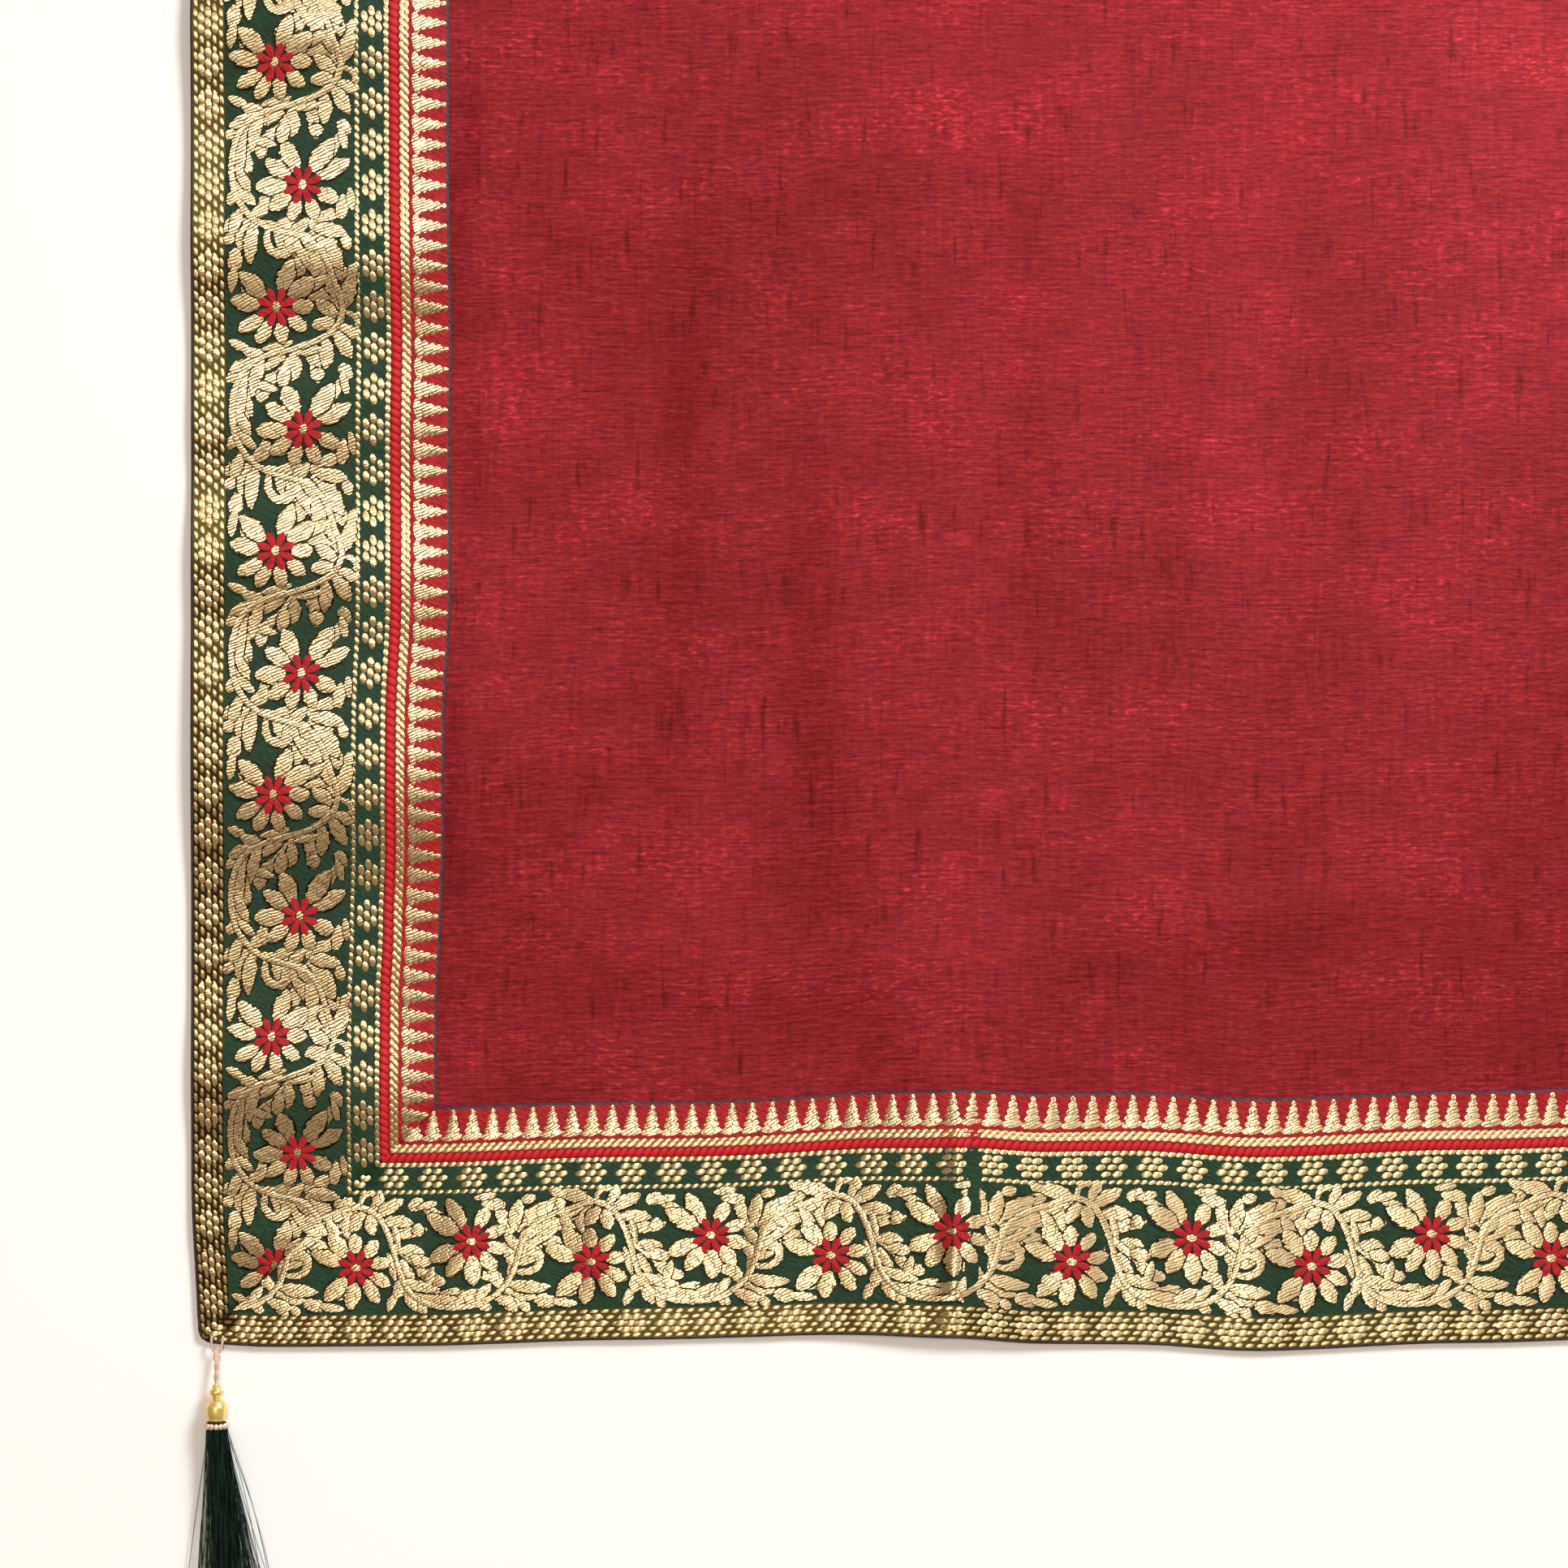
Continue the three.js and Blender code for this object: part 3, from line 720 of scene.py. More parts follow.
# along, inwards, heading, length, width, bend, outline
LEAVES = (
    # over the crest, to the right
    (2, 58, 92, 16, 3.4, -270, "curl"),
    (7.5, 57, 66, 8.5, 4.2, 0, "lobe"),
    (9.5, 55.5, 36, 12, 4.8, -10, "lobe"),
    (12, 51.5, 16, 12, 4.6, -34, "lobe"),
    (14, 47, -4, 11.5, 4.6, 28, "blunt"),
    (22, 57.5, 38, 7, 4.2, 0, "lobe"),
    (24.5, 51, -60, 5.5, 4.4, -30, "blunt"),
    (6, 55, -95, 9, 4.6, 30, "lobe"),
    (1, 56.5, -118, 8, 4.6, 20, "lobe"),
    # the branch right of the low flower
    (15, 42.5, -36, 25, 2.4, -16, "branch"),
    (19, 40, 6, 9.5, 4.4, -26, "lobe"),
    (22.5, 36.5, -8, 8.5, 4.4, -10, "blunt"),
    (18.2, 36, -62, 11, 3.4, 12, "lobe"),
    (25.5, 32.5, -48, 8, 4.0, 40, "lobe"),
    (29, 28.5, -18, 8, 4.4, 12, "blunt"),
    # under the trough
    (19.5, 27.5, -26, 16, 4.0, 24, "pointed"),
    (21, 24, -22, 20, 4.2, 28, "pointed"),
    (24, 20.8, -14, 23, 3.8, 22, "pointed"),
    (20.5, 24.5, -72, 11, 4.2, 10, "pointed"),
    (18.5, 28, -100, 9, 4.2, -12, "lobe"),
    (25.5, 18.5, -70, 6, 3.6, 40, "lobe"),
    (42, 17.5, 20, 10, 3.4, 10, "lobe"),
    # lower right of the high flower
    (64, 30, -12, 23, 4.6, 262, "curl"),
    (61.5, 25, -16, 17, 4.8, 20, "pointed"),
    (60, 22, -18, 13, 4.6, 10, "lobe"),
    (56.5, 19.5, -26, 11, 4.2, 14, "lobe"),
    (71.5, 18, -12, 9.5, 4.8, 10, "blunt"),
    (66, 16.5, -38, 5, 3.6, 0, "blunt"),
    (49.5, 17.5, -34, 6, 3.4, 10, "blunt"),
    (58.5, 24, 118, 9, 4.2, 20, "lobe"),
    # right of the high flower
    (65, 38, 48, 19, 4.8, -38, "lobe"),
    (66.5, 43, 60, 9, 4.4, -50, "lobe"),
    (64.5, 33.5, 18, 13, 4.4, 40, "lobe"),
    (73.5, 43.5, -20, 10, 4.6, 26, "lobe"),
    # upper right of the high flower
    (65, 46.5, 52, 20, 7.0, -26, "pointed"),
    (63.5, 48, 84, 13, 4.8, -8, "lobe"),
    (62.5, 46, 112, 14, 4.8, 12, "lobe"),
    (60, 58, 168, 10, 4.2, 12, "lobe"),
    (66.5, 59.5, 18, 6, 3.6, 0, "blunt"),
    (70, 48, 14, 17, 5.4, -18, "lobe"),
    (76, 54, 52, 11, 5.0, -36, "pointed"),
    (78, 53, 2, 10, 4.6, -22, "lobe"),
    # over the crest, to the left
    (94, 58.5, 156, 15, 5.2, 16, "pointed"),
    (90, 56.5, 205, 10, 4.6, 0, "lobe"),
    (93, 55.5, 214, 13, 4.8, 6, "lobe"),
    (97, 56, 232, 10, 4.6, 6, "lobe"),
    (83, 62, 168, 6, 3.2, 0, "blunt"),
    # small ones that fill in
    (29, 24, 75, 10, 3.2, 0, "lobe"),
    (37, 20.6, 2, 17, 3.4, 0, "pointed"),
    (56, 27, 150, 8, 3.2, 10, "lobe"),
    (16, 22, -112, 8.5, 3.2, 0, "lobe"),
    (78, 17.2, -12, 11, 3.2, 8, "lobe"),
    (59, 16.6, -28, 7, 2.8, 0, "blunt"),
    (63.5, 32, 106, 12, 3.8, 14, "pointed"),
    (66, 39, 128, 10, 3.8, 10, "pointed"),
    (82, 53.5, -64, 14, 3.8, 16, "pointed"),
    (88.5, 56, -84, 12, 3.8, 10, "pointed"),
    (31, 18.5, 34, 13, 3.6, -20, "pointed"),
    (40, 17.5, 38, 12, 3.6, -20, "pointed"),
    (49, 18.5, 56, 9, 3.4, -10, "lobe"),
    (27, 58, -28, 10, 3.0, 20, "pointed"),
    (22, 46.5, 16, 8, 3.0, 10, "lobe"),
    (-14, 20.5, 8, 11, 3.0, -16, "pointed"),
    (15.5, 51, -76, 11, 2.6, 0, "pointed"),
    (13, 39, -75, 13, 2.8, 0, "pointed"),
    (61.4, 26, 78, 17, 3.0, 0, "pointed"),
    (33, 60, 190, 9, 2.8, 12, "lobe"),
    (48, 61.5, 8, 9, 2.6, 0, "blunt"),
)


class Weave:
    """Forms gathered into one flat mesh: points along, inwards and over the silk's underside.

    A point's crown is 0 on a form's edge, where its threads end unevenly, and 1 where it is whole.
    """

    def __init__(self):
        self.points = []
        self.crowns = []
        self.faces = []

    def strip(self, middle, turn, half, layer, edge=0.0):
        """A form along a line of middles, crowned between its edges. `edge` is how whole those are."""
        normal = np.stack([-np.sin(turn), np.cos(turn)], 1)
        shares = (-1, -RIDGE, RIDGE, 1)
        base = TAPE_TOP + OVER_GROUND + layer * LAYER
        first = len(self.points)
        for k in range(len(middle)):
            for share in shares:
                whole = min(1.0, half[k] / FULL) if abs(share) < 1 else 0.0
                at = middle[k] + normal[k] * half[k] * share
                self.points.append((*at, base + PUFF * whole))
                self.crowns.append(max(whole, edge))
        width = len(shares)
        for k in range(len(middle) - 1):
            for j in range(width - 1):
                a = first + k * width + j
                self.faces.append((a, a + width, a + width + 1, a + 1))

    def made(self, name):
        woven_form = mesh_object(name, np.array(self.points) * MM, self.faces)
        crown = woven_form.data.attributes.new("crown", "FLOAT", "POINT")
        crown.data.foreach_set("value", self.crowns)
        return woven_form


def bent_line(at, heading, length, bend, shares):
    """Middles and headings on a line that turns through `bend`, tightening if it is a curl."""
    fine = np.linspace(0, 1, FINE)
    tighten = CURL["tighten"] if abs(bend) > CURL["bend"] else 1
    turn = np.radians(heading + bend * fine**tighten)
    middle_turn = (turn[1:] + turn[:-1]) / 2
    step = length / (FINE - 1)
    x = at[0] + np.append(0, np.cumsum(np.cos(middle_turn) * step))
    y = at[1] + np.append(0, np.cumsum(np.sin(middle_turn) * step))
    middle = np.stack([np.interp(shares, fine, x), np.interp(shares, fine, y)], 1)
    return middle, np.interp(shares, fine, turn)


def leaf(at, heading, length, width, bend, outline):
    """The middles, headings and half widths of one form."""
    rows = np.array(OUTLINES[outline])
    shares = rows[:, 0]
    if outline == "curl":
        shares = np.linspace(0, 1, CURL["points"])
    half = np.interp(shares, rows[:, 0], rows[:, 1]) * width / 2
    return (*bent_line(at, heading, length, bend, shares), half)


def stem_line(per=2):
    """The stem through its points, as a smooth run one repeat long."""
    points = np.array(STEM, float)
    shift = np.array([REPEAT, 0])
    run = np.concatenate([points[-1:] - shift, points, points[:2] + shift])
    middle = []
    for k in range(1, len(points) + 1):
        a, b, c, d = run[k - 1:k + 3]
        for u in np.arange(per) / per:
            middle.append(0.5 * (2 * b + (c - a) * u + (2 * a - 5 * b + 4 * c - d) * u**2
                                 + (3 * b - a - 3 * c + d) * u**3))
    middle = np.array([*middle, points[0] + shift])
    before, after = middle[-2:-1] - shift, middle[1:2] + shift
    way = np.concatenate([middle[1:], after]) - np.concatenate([before, middle[:-1]])
    return middle, np.arctan2(way[:, 1], way[:, 0]), np.full(len(middle), STEM_HALF)


def from_centre(centre, angle, distance):
    angle = np.radians(angle)
    return centre[0] + distance * np.cos(angle), centre[1] + distance * np.sin(angle)


def vine_unit():
    """One repeat of the vine's gold, and the flowers' red hearts."""
    gold, hearts = Weave(), Weave()
    for k, (along, inwards, heading, length, width, bend, outline) in enumerate(LEAVES):
        form = leaf((along, inwards), heading, length, width * LEAF_FULL, bend, outline)
        layer = LAYERS["leaves"][k % 4]
        gold.strip(*form, layer=layer + OWN * (k % OWN_STEPS))
    gold.strip(*stem_line(), layer=LAYERS["stem"], edge=STEM_EDGE)
    for centre, petals in FLOWERS.values():
        for k, (angle, start, end, width, outline) in enumerate(petals):
            at = from_centre(centre, angle, start)
            form = leaf(at, angle, end - start, width * PETAL_FULL, 0, outline)
            gold.strip(*form, layer=LAYERS["petals"][k % 2] + OWN * k)
        for k in range(HEART["wedges"]):
            angle = HEART["turn"] + 360 * k / HEART["wedges"]
            at = from_centre(centre, angle, HEART["from"])
            form = leaf(at, angle, HEART["to"] - HEART["from"], HEART["width"], 0, "heart")
            hearts.strip(*form, layer=LAYERS["hearts"] + OWN * k)
        at = from_centre(centre, 180, EYE["length"] / 2)
        form = leaf(at, 0, EYE["length"], EYE["width"], 0, "blunt")
        gold.strip(*form, layer=LAYERS["eye"])
    return {"vine": gold, "hearts": hearts}


def new_tree(name, **inputs):
    """A Geometry Nodes tree that takes geometry, the inputs of the kinds named, and a material."""
    tree = bpy.data.node_groups.new(name, "GeometryNodeTree")
    for socket, kind in {"Geometry": "Geometry", **inputs, "Material": "Material"}.items():
        tree.interface.new_socket(socket, in_out="INPUT", socket_type=f"NodeSocket{kind}")
    tree.interface.new_socket("Geometry", in_out="OUTPUT", socket_type="NodeSocketGeometry")
    return tree, node(tree, "NodeGroupInput").outputs


def finished_tree(tree, geometry, material):
    """The tree with its copies made real, its material put on and its output joined."""
    real = node(tree, "GeometryNodeRealizeInstances", {"Geometry": geometry}).outputs[0]
    painted = node(tree, "GeometryNodeSetMaterial", {"Geometry": real, "Material": material})
    node(tree, "NodeGroupOutput", {"Geometry": painted.outputs[0]})
    return tree


def row_tree():
    """Repeats its geometry along a straight row."""
    tree, given = new_tree("row", Start="Float", Pitch="Float", Count="Int")
    start = node(tree, "ShaderNodeCombineXYZ", {"X": given["Start"]}).outputs[0]
    step = node(tree, "ShaderNodeCombineXYZ", {"X": given["Pitch"]}).outputs[0]
    line = node(tree, "GeometryNodeMeshLine", {
        "Count": given["Count"], "Start Location": start, "Offset": step,
    })
    copies = node(tree, "GeometryNodeInstanceOnPoints", {
        "Points": line.outputs[0], "Instance": given["Geometry"],
    })
    return finished_tree(tree, copies.outputs[0], given["Material"])


ROW = row_tree()


def baked(made, tree, **inputs):
    """The object as the tree makes it, as a plain mesh."""
    modifier = made.modifiers.new(tree.name, "NODES")
    modifier.node_group = tree
    for item in tree.interface.items_tree:
        if item.in_out == "INPUT" and item.name in inputs:
            modifier[item.identifier] = inputs[item.name]
    evaluated = made.evaluated_get(bpy.context.evaluated_depsgraph_get())
    mesh = bpy.data.meshes.new_from_object(evaluated)
    made.modifiers.remove(modifier)
    made.data = mesh
    return made


def woven(name, weave, side, pitch, phase, material):
    """A weave repeated along a whole tape, cut at its ends and sewn on; one falls at `phase`."""
    made = weave.made(f"{name}_{side}")
    (start, end), _ = SIDES[side]
    first = phase + pitch * np.floor((start - phase) / pitch - 1)
    count = int(np.ceil((end - first) / pitch)) + 1
    baked(made, ROW, Start=first * MM, Pitch=pitch * MM, Count=count, Material=material)
    sew_on(made, side)
    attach(made, "root")
    return made


# a float's length and a thread's width, how they slant, how many rows a row wanders by, and how
# sharply a float dips at its ends and along its sides
ZARI = {"float": 4.2, "thread": 1.2, "slant": 24, "wander": 2.6, "ends": 9.0, "sides": 2.1}


def zari_finish(name, pale, deep, edge, binding):
    """Gold thread: slanting floats in rows, each bound at its ends, that shine along the tape.
    Its colour darkens where a float dips at its ends and sides: partly the binding, partly painted
    shade.
    """
    material = finish_of(
        name, Metallic=1.0, Roughness=0.37, Anisotropic=0.92, Anisotropic_Rotation=0.25,
    )
    tree = material.node_tree
    cut = node(tree, "ShaderNodeUVMap", uv_map="cut").outputs[0]
    mapping = node(tree, "ShaderNodeMapping", {
        "Vector": cut,
        "Rotation": (0, 0, np.radians(ZARI["slant"])),
        "Scale": (ZARI["float"] * MM, ZARI["thread"] * MM, 1),
    }, vector_type="TEXTURE")
    apart = node(tree, "ShaderNodeSeparateXYZ", {0: mapping.outputs[0]}).outputs
    wander = math(tree, "MULTIPLY", stretched_noise(tree, cut, (11, 7)), ZARI["wander"])
    down = math(tree, "ADD", apart["Y"], wander)
    row = math(tree, "FLOOR", down)
    shift = node(tree, "ShaderNodeTexWhiteNoise", {"W": row}, noise_dimensions="1D")
    along = math(tree, "ADD", apart["X"], shift.outputs["Value"])
    which = node(tree, "ShaderNodeCombineXYZ", {"X": row, "Y": math(tree, "FLOOR", along)})
    chance = node(tree, "ShaderNodeTexWhiteNoise", {
        "Vector": which.outputs[0],
    }, noise_dimensions="2D").outputs["Value"]
    u = math(tree, "ABSOLUTE", math(tree, "SUBTRACT", math(tree, "FRACT", along), 0.5))
    v = math(tree, "ABSOLUTE", math(tree, "SUBTRACT", math(tree, "FRACT", down), 0.5))
    ends = math(tree, "POWER", math(tree, "MULTIPLY", u, 2.0), ZARI["ends"])
    sides = math(tree, "POWER", math(tree, "MULTIPLY", v, 2.0), ZARI["sides"])
    bound = node(tree, "ShaderNodeMapRange", {
        "Value": stretched_noise(tree, cut, (4.5, 1.6), turn=ZARI["slant"], detail=2.0),
        "From Min": 0.35, "From Max": 0.65, "To Min": binding[0], "To Max": binding[1],
    }).outputs[0]
    # Partly painted shade: the colour follows this height, darker where a float dips at its ends and
    # sides, as the binding shows and shade falls.
    gap = math(tree, "MULTIPLY", math(tree, "MAXIMUM", ends, sides), bound)
    height = math(tree, "SUBTRACT", 1.0, gap, clamp=True)
    tone = math(tree, "MULTIPLY", height, weighed(tree, 0.8, (chance, 0.2)))
    gold = ramp(tree, tone, ((0.1, deep), (0.72, pale)))
    # Where a form's crown is low, at its edge, the colour is the dark edge colour: the binding of its
    # floats, and partly painted shade where the form meets the ground.
    crown = node(tree, "ShaderNodeAttribute", attribute_name="crown").outputs["Fac"]
    frayed = weighed(tree, 0.2, (chance, 0.5))
    whole = math(tree, "GREATER_THAN", crown, frayed)
    colour = node(tree, "ShaderNodeMix", {0: whole, 6: edge, 7: gold}, data_type="RGBA").outputs[2]
    return dressed(material, colour, height, depth=0.12, shine="tape")


# Dark colour for each form's edge: the binding, and partly painted shade.
edge_binding_and_shade = srgb(50, 48, 30)
zari = zari_finish("zari", srgb(250, 226, 176), srgb(108, 75, 39), edge_binding_and_shade, (0.6, 1.25))
zari_dots = zari_finish("zari_dots", srgb(236, 208, 154), srgb(132, 96, 50), edge_binding_and_shade, (0.0, 0.6))
heart_silk = silk_ground("heart_silk", srgb(148, 14, 22), srgb(196, 32, 38))

# where a repeat starts on each tape
PHASE = {"left": -34.2 - 2 * REPEAT, "pallu": 66.9, "right": 20}
VINE_FINISH = {"vine": zari, "hearts": heart_silk}
on_tape = {side: [] for side in SIDES}
for part, weave in vine_unit().items():
    for side in SIDES:
        on_tape[side].append(woven(part, weave, side, REPEAT, PHASE[side], VINE_FINISH[part]))


# ------------------------------------------------------------------------------ the tape's rows
# Rosettes of seven gold dots in the outer band and inside the vine, four lines of slanting gold
# beads, a row like a red twisted cord between two of them, and stepped gold points by the silk.

DOT = {"length": 4.4, "width": 2.5, "rise": 0.4, "turn": 12}
ROSETTE = {"pitch": REPEAT / 6, "along": 4.2, "row": 2.75,
           "rows": ((-0.5, 0.5), (-1, 0, 1), (-0.5, 0.5))}
ROSETTE_LINES = (7.0, 70.3)  # middle of the outer band's and of the inner row's
# middle, length and width of a bead
BEAD_LINES = ((64.4, 3.5, 1.7), (75.9, 3.6, 2.1), (82.0, 4.2, 1.9), (83.6, 4.0, 1.7))
BEAD_PITCH = REPEAT / 30
BEAD_SLANT = 18
CORD = {"middle": 78.8, "length": 5.6, "width": 3.1, "turn": 48, "rise": 0.7}
# each tier's width and depth, from the cord's side in
TIERS = ((8.4, 3.3), (6.2, 3.3), (4.9, 3.3), (3.6, 3.3), (2.1, 2.64))
TEMPLE = {"pitch": REPEAT / 12, "from": 87.4, "step": 2.55, "lean": 0.12, "turn": 9}


def bead(weave, at, length, width, turn, rise=0.32, sides=8):
    """A short float of thread, seen as a small mound: a ring and a peak."""
    angle = 2 * np.pi * np.arange(sides) / sides
    turn = np.radians(turn)
    x = np.cos(angle) * length / 2
    y = np.sin(angle) * width / 2
    first = len(weave.points)
    base = TAPE_TOP + OVER_GROUND
    for k in range(sides):
        weave.points.append((
            at[0] + x[k] * np.cos(turn) - y[k] * np.sin(turn),
            at[1] + x[k] * np.sin(turn) + y[k] * np.cos(turn),
            base,
        ))
    weave.points.append((*at, base + rise))
    weave.crowns.extend([1.0] * (sides + 1))
    for k in range(sides):
        weave.faces.append((first + k, first + (k + 1) % sides, first + sides))


def rosettes():
    weave = Weave()
    for middle in ROSETTE_LINES:
        for row, places in zip((-1, 0, 1), ROSETTE["rows"]):
            for place in places:
                at = (place * ROSETTE["along"], middle + row * ROSETTE["row"])
                bead(weave, at, DOT["length"], DOT["width"], DOT["turn"], DOT["rise"])
    return weave


def bead_lines():
    weave = Weave()
    for k, (middle, length, width) in enumerate(BEAD_LINES):
        shift = k * BEAD_PITCH / 2  # each line starts half a bead on from the last
        bead(weave, (shift, middle), length, width, BEAD_SLANT, sides=6)
    return weave


def cord_twist():
    """One turn of the cord, with painted shade in its creases."""
    weave = Weave()
    bead(weave, (0, CORD["middle"]), CORD["length"], CORD["width"], CORD["turn"], CORD["rise"])
    # Crown 0 round the ring: the cord's finish paints shade there, fading to full red at the peak.
    weave.crowns[:-1] = [0.0] * (len(weave.crowns) - 1)
    return weave


def temples():
    """Five tiers, each narrower than the last, the lowest nearly touching its neighbours."""
    weave = Weave()
    for k, (width, deep) in enumerate(TIERS):
        at = (TEMPLE["lean"] * k, TEMPLE["from"] + k * TEMPLE["step"])
        bead(weave, at, width, deep, TEMPLE["turn"], sides=10)
    return weave


def cord_finish():
    """Twisted red silk, with painted shade where a turn meets the next."""
    material = finish_of("cord_silk", Roughness=0.42, Specular_IOR_Level=0.22)
    tree = material.node_tree
    crown = node(tree, "ShaderNodeAttribute", attribute_name="crown").outputs["Fac"]
    place = node(tree, "ShaderNodeTexCoord").outputs["Object"]
    fibres = stretched_noise(tree, place, (1.4, 0.5), turn=40)
    # Painted shade: darker towards each turn's edge, full red at its peak.
    tone = weighed(tree, -0.15, (crown, 1.0), (fibres, 0.3))
    return dressed(material, ramp(tree, tone, ((0.0, srgb(112, 8, 13)), (0.4, srgb(204, 24, 32)))))


cord_silk = cord_finish()
SMALL_ROWS = (
    ("rosettes", rosettes(), ROSETTE["pitch"], zari_dots),
    ("beads", bead_lines(), BEAD_PITCH, zari_dots),
    ("cord", cord_twist(), BEAD_PITCH, cord_silk),
    ("temples", temples(), TEMPLE["pitch"], zari),
)
for part, weave, pitch, finish in SMALL_ROWS:
    for side in SIDES:
        on_tape[side].append(woven(part, weave, side, pitch, PHASE[side], finish))


# ------------------------------------------------------------------------------ tassels
# At each pallu corner: two silk plies that come out of the cloth and twist into one thread, a
# turned gilt bead and a gilt barrel on it, a ring of pale beads, and a skirt of dark green silk.

# `out` is how far over the silk's underside the thread is where it comes out
TASSEL = {"inset": 8, "start": 3, "out": 3.3, "axis": 4.8, "gap": 0.3}
# turns is in radians a millimetre; the stretches where the plies join, fall to the tassel's axis and
# come up through the cloth are each from and to, along from the pallu edge
PLY = {"radius": 0.5, "apart": 2.3, "from": 3.4, "to": 15.6, "steps": 34, "turns": 0.75, "sunk": 1.1,
       "joins": (-3, 8.5), "falls": (1, 13), "surfaces": (-3.4, -1.2)}
# distance along, radius
BEAD_PROFILE = (
    (0, 1.3), (0.35, 1.6), (0.8, 1.55), (1.1, 1.35), (1.5, 1.8), (2.2, 2.45), (3.1, 2.7),
    (4.0, 2.5), (4.7, 1.9), (5.1, 1.45), (5.5, 1.6), (5.85, 1.5), (6.0, 1.3),
)
CAP_PROFILE = (
    (0, 2.4), (0.25, 2.9), (0.6, 3.3), (0.95, 3.35), (1.2, 3.6), (1.9, 4.0), (3.0, 4.25),
    (5.4, 4.25), (6.4, 4.1), (6.9, 3.8), (7.1, 3.85), (7.5, 3.85), (7.8, 3.5), (8.3, 3.2),
)
BEAD_FROM = 15.2
CAP_FROM = BEAD_FROM + BEAD_PROFILE[-1][0] + TASSEL["gap"]
COLLAR_FROM = CAP_FROM + CAP_PROFILE[-1][0] + TASSEL["gap"]
COLLAR = {"beads": 13, "ring": 3.75, "bead": 0.98, "long": 1.35}
# a collar bead's outline, as shares of half its length and of its radius
COLLAR_BEAD = ((-0.87, 0.5), (-0.5, 0.87), (0, 1), (0.5, 0.87), (0.87, 0.5))
# the fan's inputs
SKIRT = {
    "Count": 310, "Length": 78.0, "Root": 3.9, "Thickness": 0.13, "Low": -4.4, "High": 1.2, "Seed": 7,
}
# how its strands lie: the power that eases them out, the share of the length by which they are down,
# the share of the spread that they keep to, how far strays and bows go in millimetres, the most that
# a strand is short of its length, and how they clump across the skirt: waves in radians, share
STRANDS = {"ease": 1.05, "settled": 0.55, "kept": 0.84, "stray": 13.0, "bow": 2.0, "short": 0.2,
           "points": 9, "clumps": ((11.0, 0.17), (27.0, 0.09))}
# side, across the cloth, how far the skirt drifts, half its spread at the ends
TASSELS = (
    ("left", TASSEL["inset"], 6.2, 8.6),
    ("right", WIDTH - TASSEL["inset"], -3.8, 8.9),
)


def put(made, x, y, z, material, slot, *nodes):
    """Moves a piece's mesh to its place, puts its material on and hides the solids it stands for."""
    place = (x * MM, y * MM, z * MM)
    made.data.transform(mathutils.Matrix.LocRotScale(place, None, (MM, MM, MM)))
    made.data.materials.clear()
    made.data.materials.append(material)
    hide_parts(*nodes)
    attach(made, "root")


def tube(paths, name, radius, sides=8):
    """Closed round threads along lists of points."""
    points = []
    faces = []
    for path in paths:
        path = np.array(path, float)
        way = np.gradient(path, axis=0)
        way /= np.linalg.norm(way, axis=1)[:, None]
        out = np.cross(way, (0, 0, 1))
        out /= np.linalg.norm(out, axis=1)[:, None]
        up = np.cross(out, way)
        first = len(points)
        for k in range(len(path)):
            for angle in 2 * np.pi * np.arange(sides) / sides:
                points.append(path[k] + radius * (np.cos(angle) * out[k] + np.sin(angle) * up[k]))
        for k in range(len(path) - 1):
            for j in range(sides):
                a, b = first + k * sides + j, first + k * sides + (j + 1) % sides
                faces.append((a, b, b + sides, a + sides))
        last = first + (len(path) - 1) * sides
        faces.append([first + j for j in reversed(range(sides))])
        faces.append([last + j for j in range(sides)])
    return mesh_object(name, points, faces)


def plies(rise):
    """The two plies: apart where they leave the cloth, then wound round each other to the bead."""
    paths = []
    for hand in (0, np.pi):
        path = []
        for along in np.linspace(-PLY["from"], PLY["to"], PLY["steps"]):
            closed = smoothstep(along, *PLY["joins"])
            angle = hand + closed * along * PLY["turns"]
            spread = mix(PLY["apart"], PLY["radius"], closed)
            z = mix(rise, 0, smoothstep(along, *PLY["falls"]))
            z = z - PLY["sunk"] * (1 - smoothstep(along, *PLY["surfaces"]))
            height = z + PLY["radius"] * closed * np.sin(angle)
            path.append((spread * np.cos(angle), -along, height))
        paths.append(path)
    return paths


def turned(name, profile, start, sides=40):
    """A piece turned on the thread's axis, closed flat at both ends."""
    points = []
    faces = []
    for along, radius in profile:
        for angle in 2 * np.pi * np.arange(sides) / sides:
            points.append((radius * np.cos(angle), -start - along, radius * np.sin(angle)))
    for k in range(len(profile) - 1):
        for j in range(sides):
            a, b = k * sides + j, k * sides + (j + 1) % sides
            faces.append((a, a + sides, b + sides, b))
    faces.append(list(range(sides)))
    faces.append([(len(profile) - 1) * sides + j for j in reversed(range(sides))])
    made = mesh_object(name, points, faces)
    shape = bmesh.new()
    shape.from_mesh(made.data)
    bmesh.ops.recalc_face_normals(shape, faces=shape.faces)
    shape.to_mesh(made.data)
    shape.free()
    return made


def ring_tree():
    """Copies of its geometry round a ring on the thread's axis, each facing out."""
    tree, given = new_tree("ring", Count="Int", Radius="Float", Along="Float")
    count = given["Count"]
    turn = math(tree, "DIVIDE", 2 * np.pi, count)
    angle = math(tree, "MULTIPLY", node(tree, "GeometryNodeInputIndex").outputs[0], turn)
    place = node(tree, "ShaderNodeCombineXYZ", {
        "X": math(tree, "MULTIPLY", math(tree, "COSINE", angle), given["Radius"]),
        "Y": math(tree, "MULTIPLY", given["Along"], -1.0),
        "Z": math(tree, "MULTIPLY", math(tree, "SINE", angle), given["Radius"]),
    }).outputs[0]
    points = node(tree, "GeometryNodePoints", {"Count": count, "Position": place})
    facing = node(tree, "ShaderNodeCombineXYZ", {"Y": math(tree, "MULTIPLY", angle, -1.0)})
    copies = node(tree, "GeometryNodeInstanceOnPoints", {
        "Points": points.outputs[0], "Instance": given["Geometry"], "Rotation": facing.outputs[0],
    })
    return finished_tree(tree, copies.outputs[0], given["Material"])


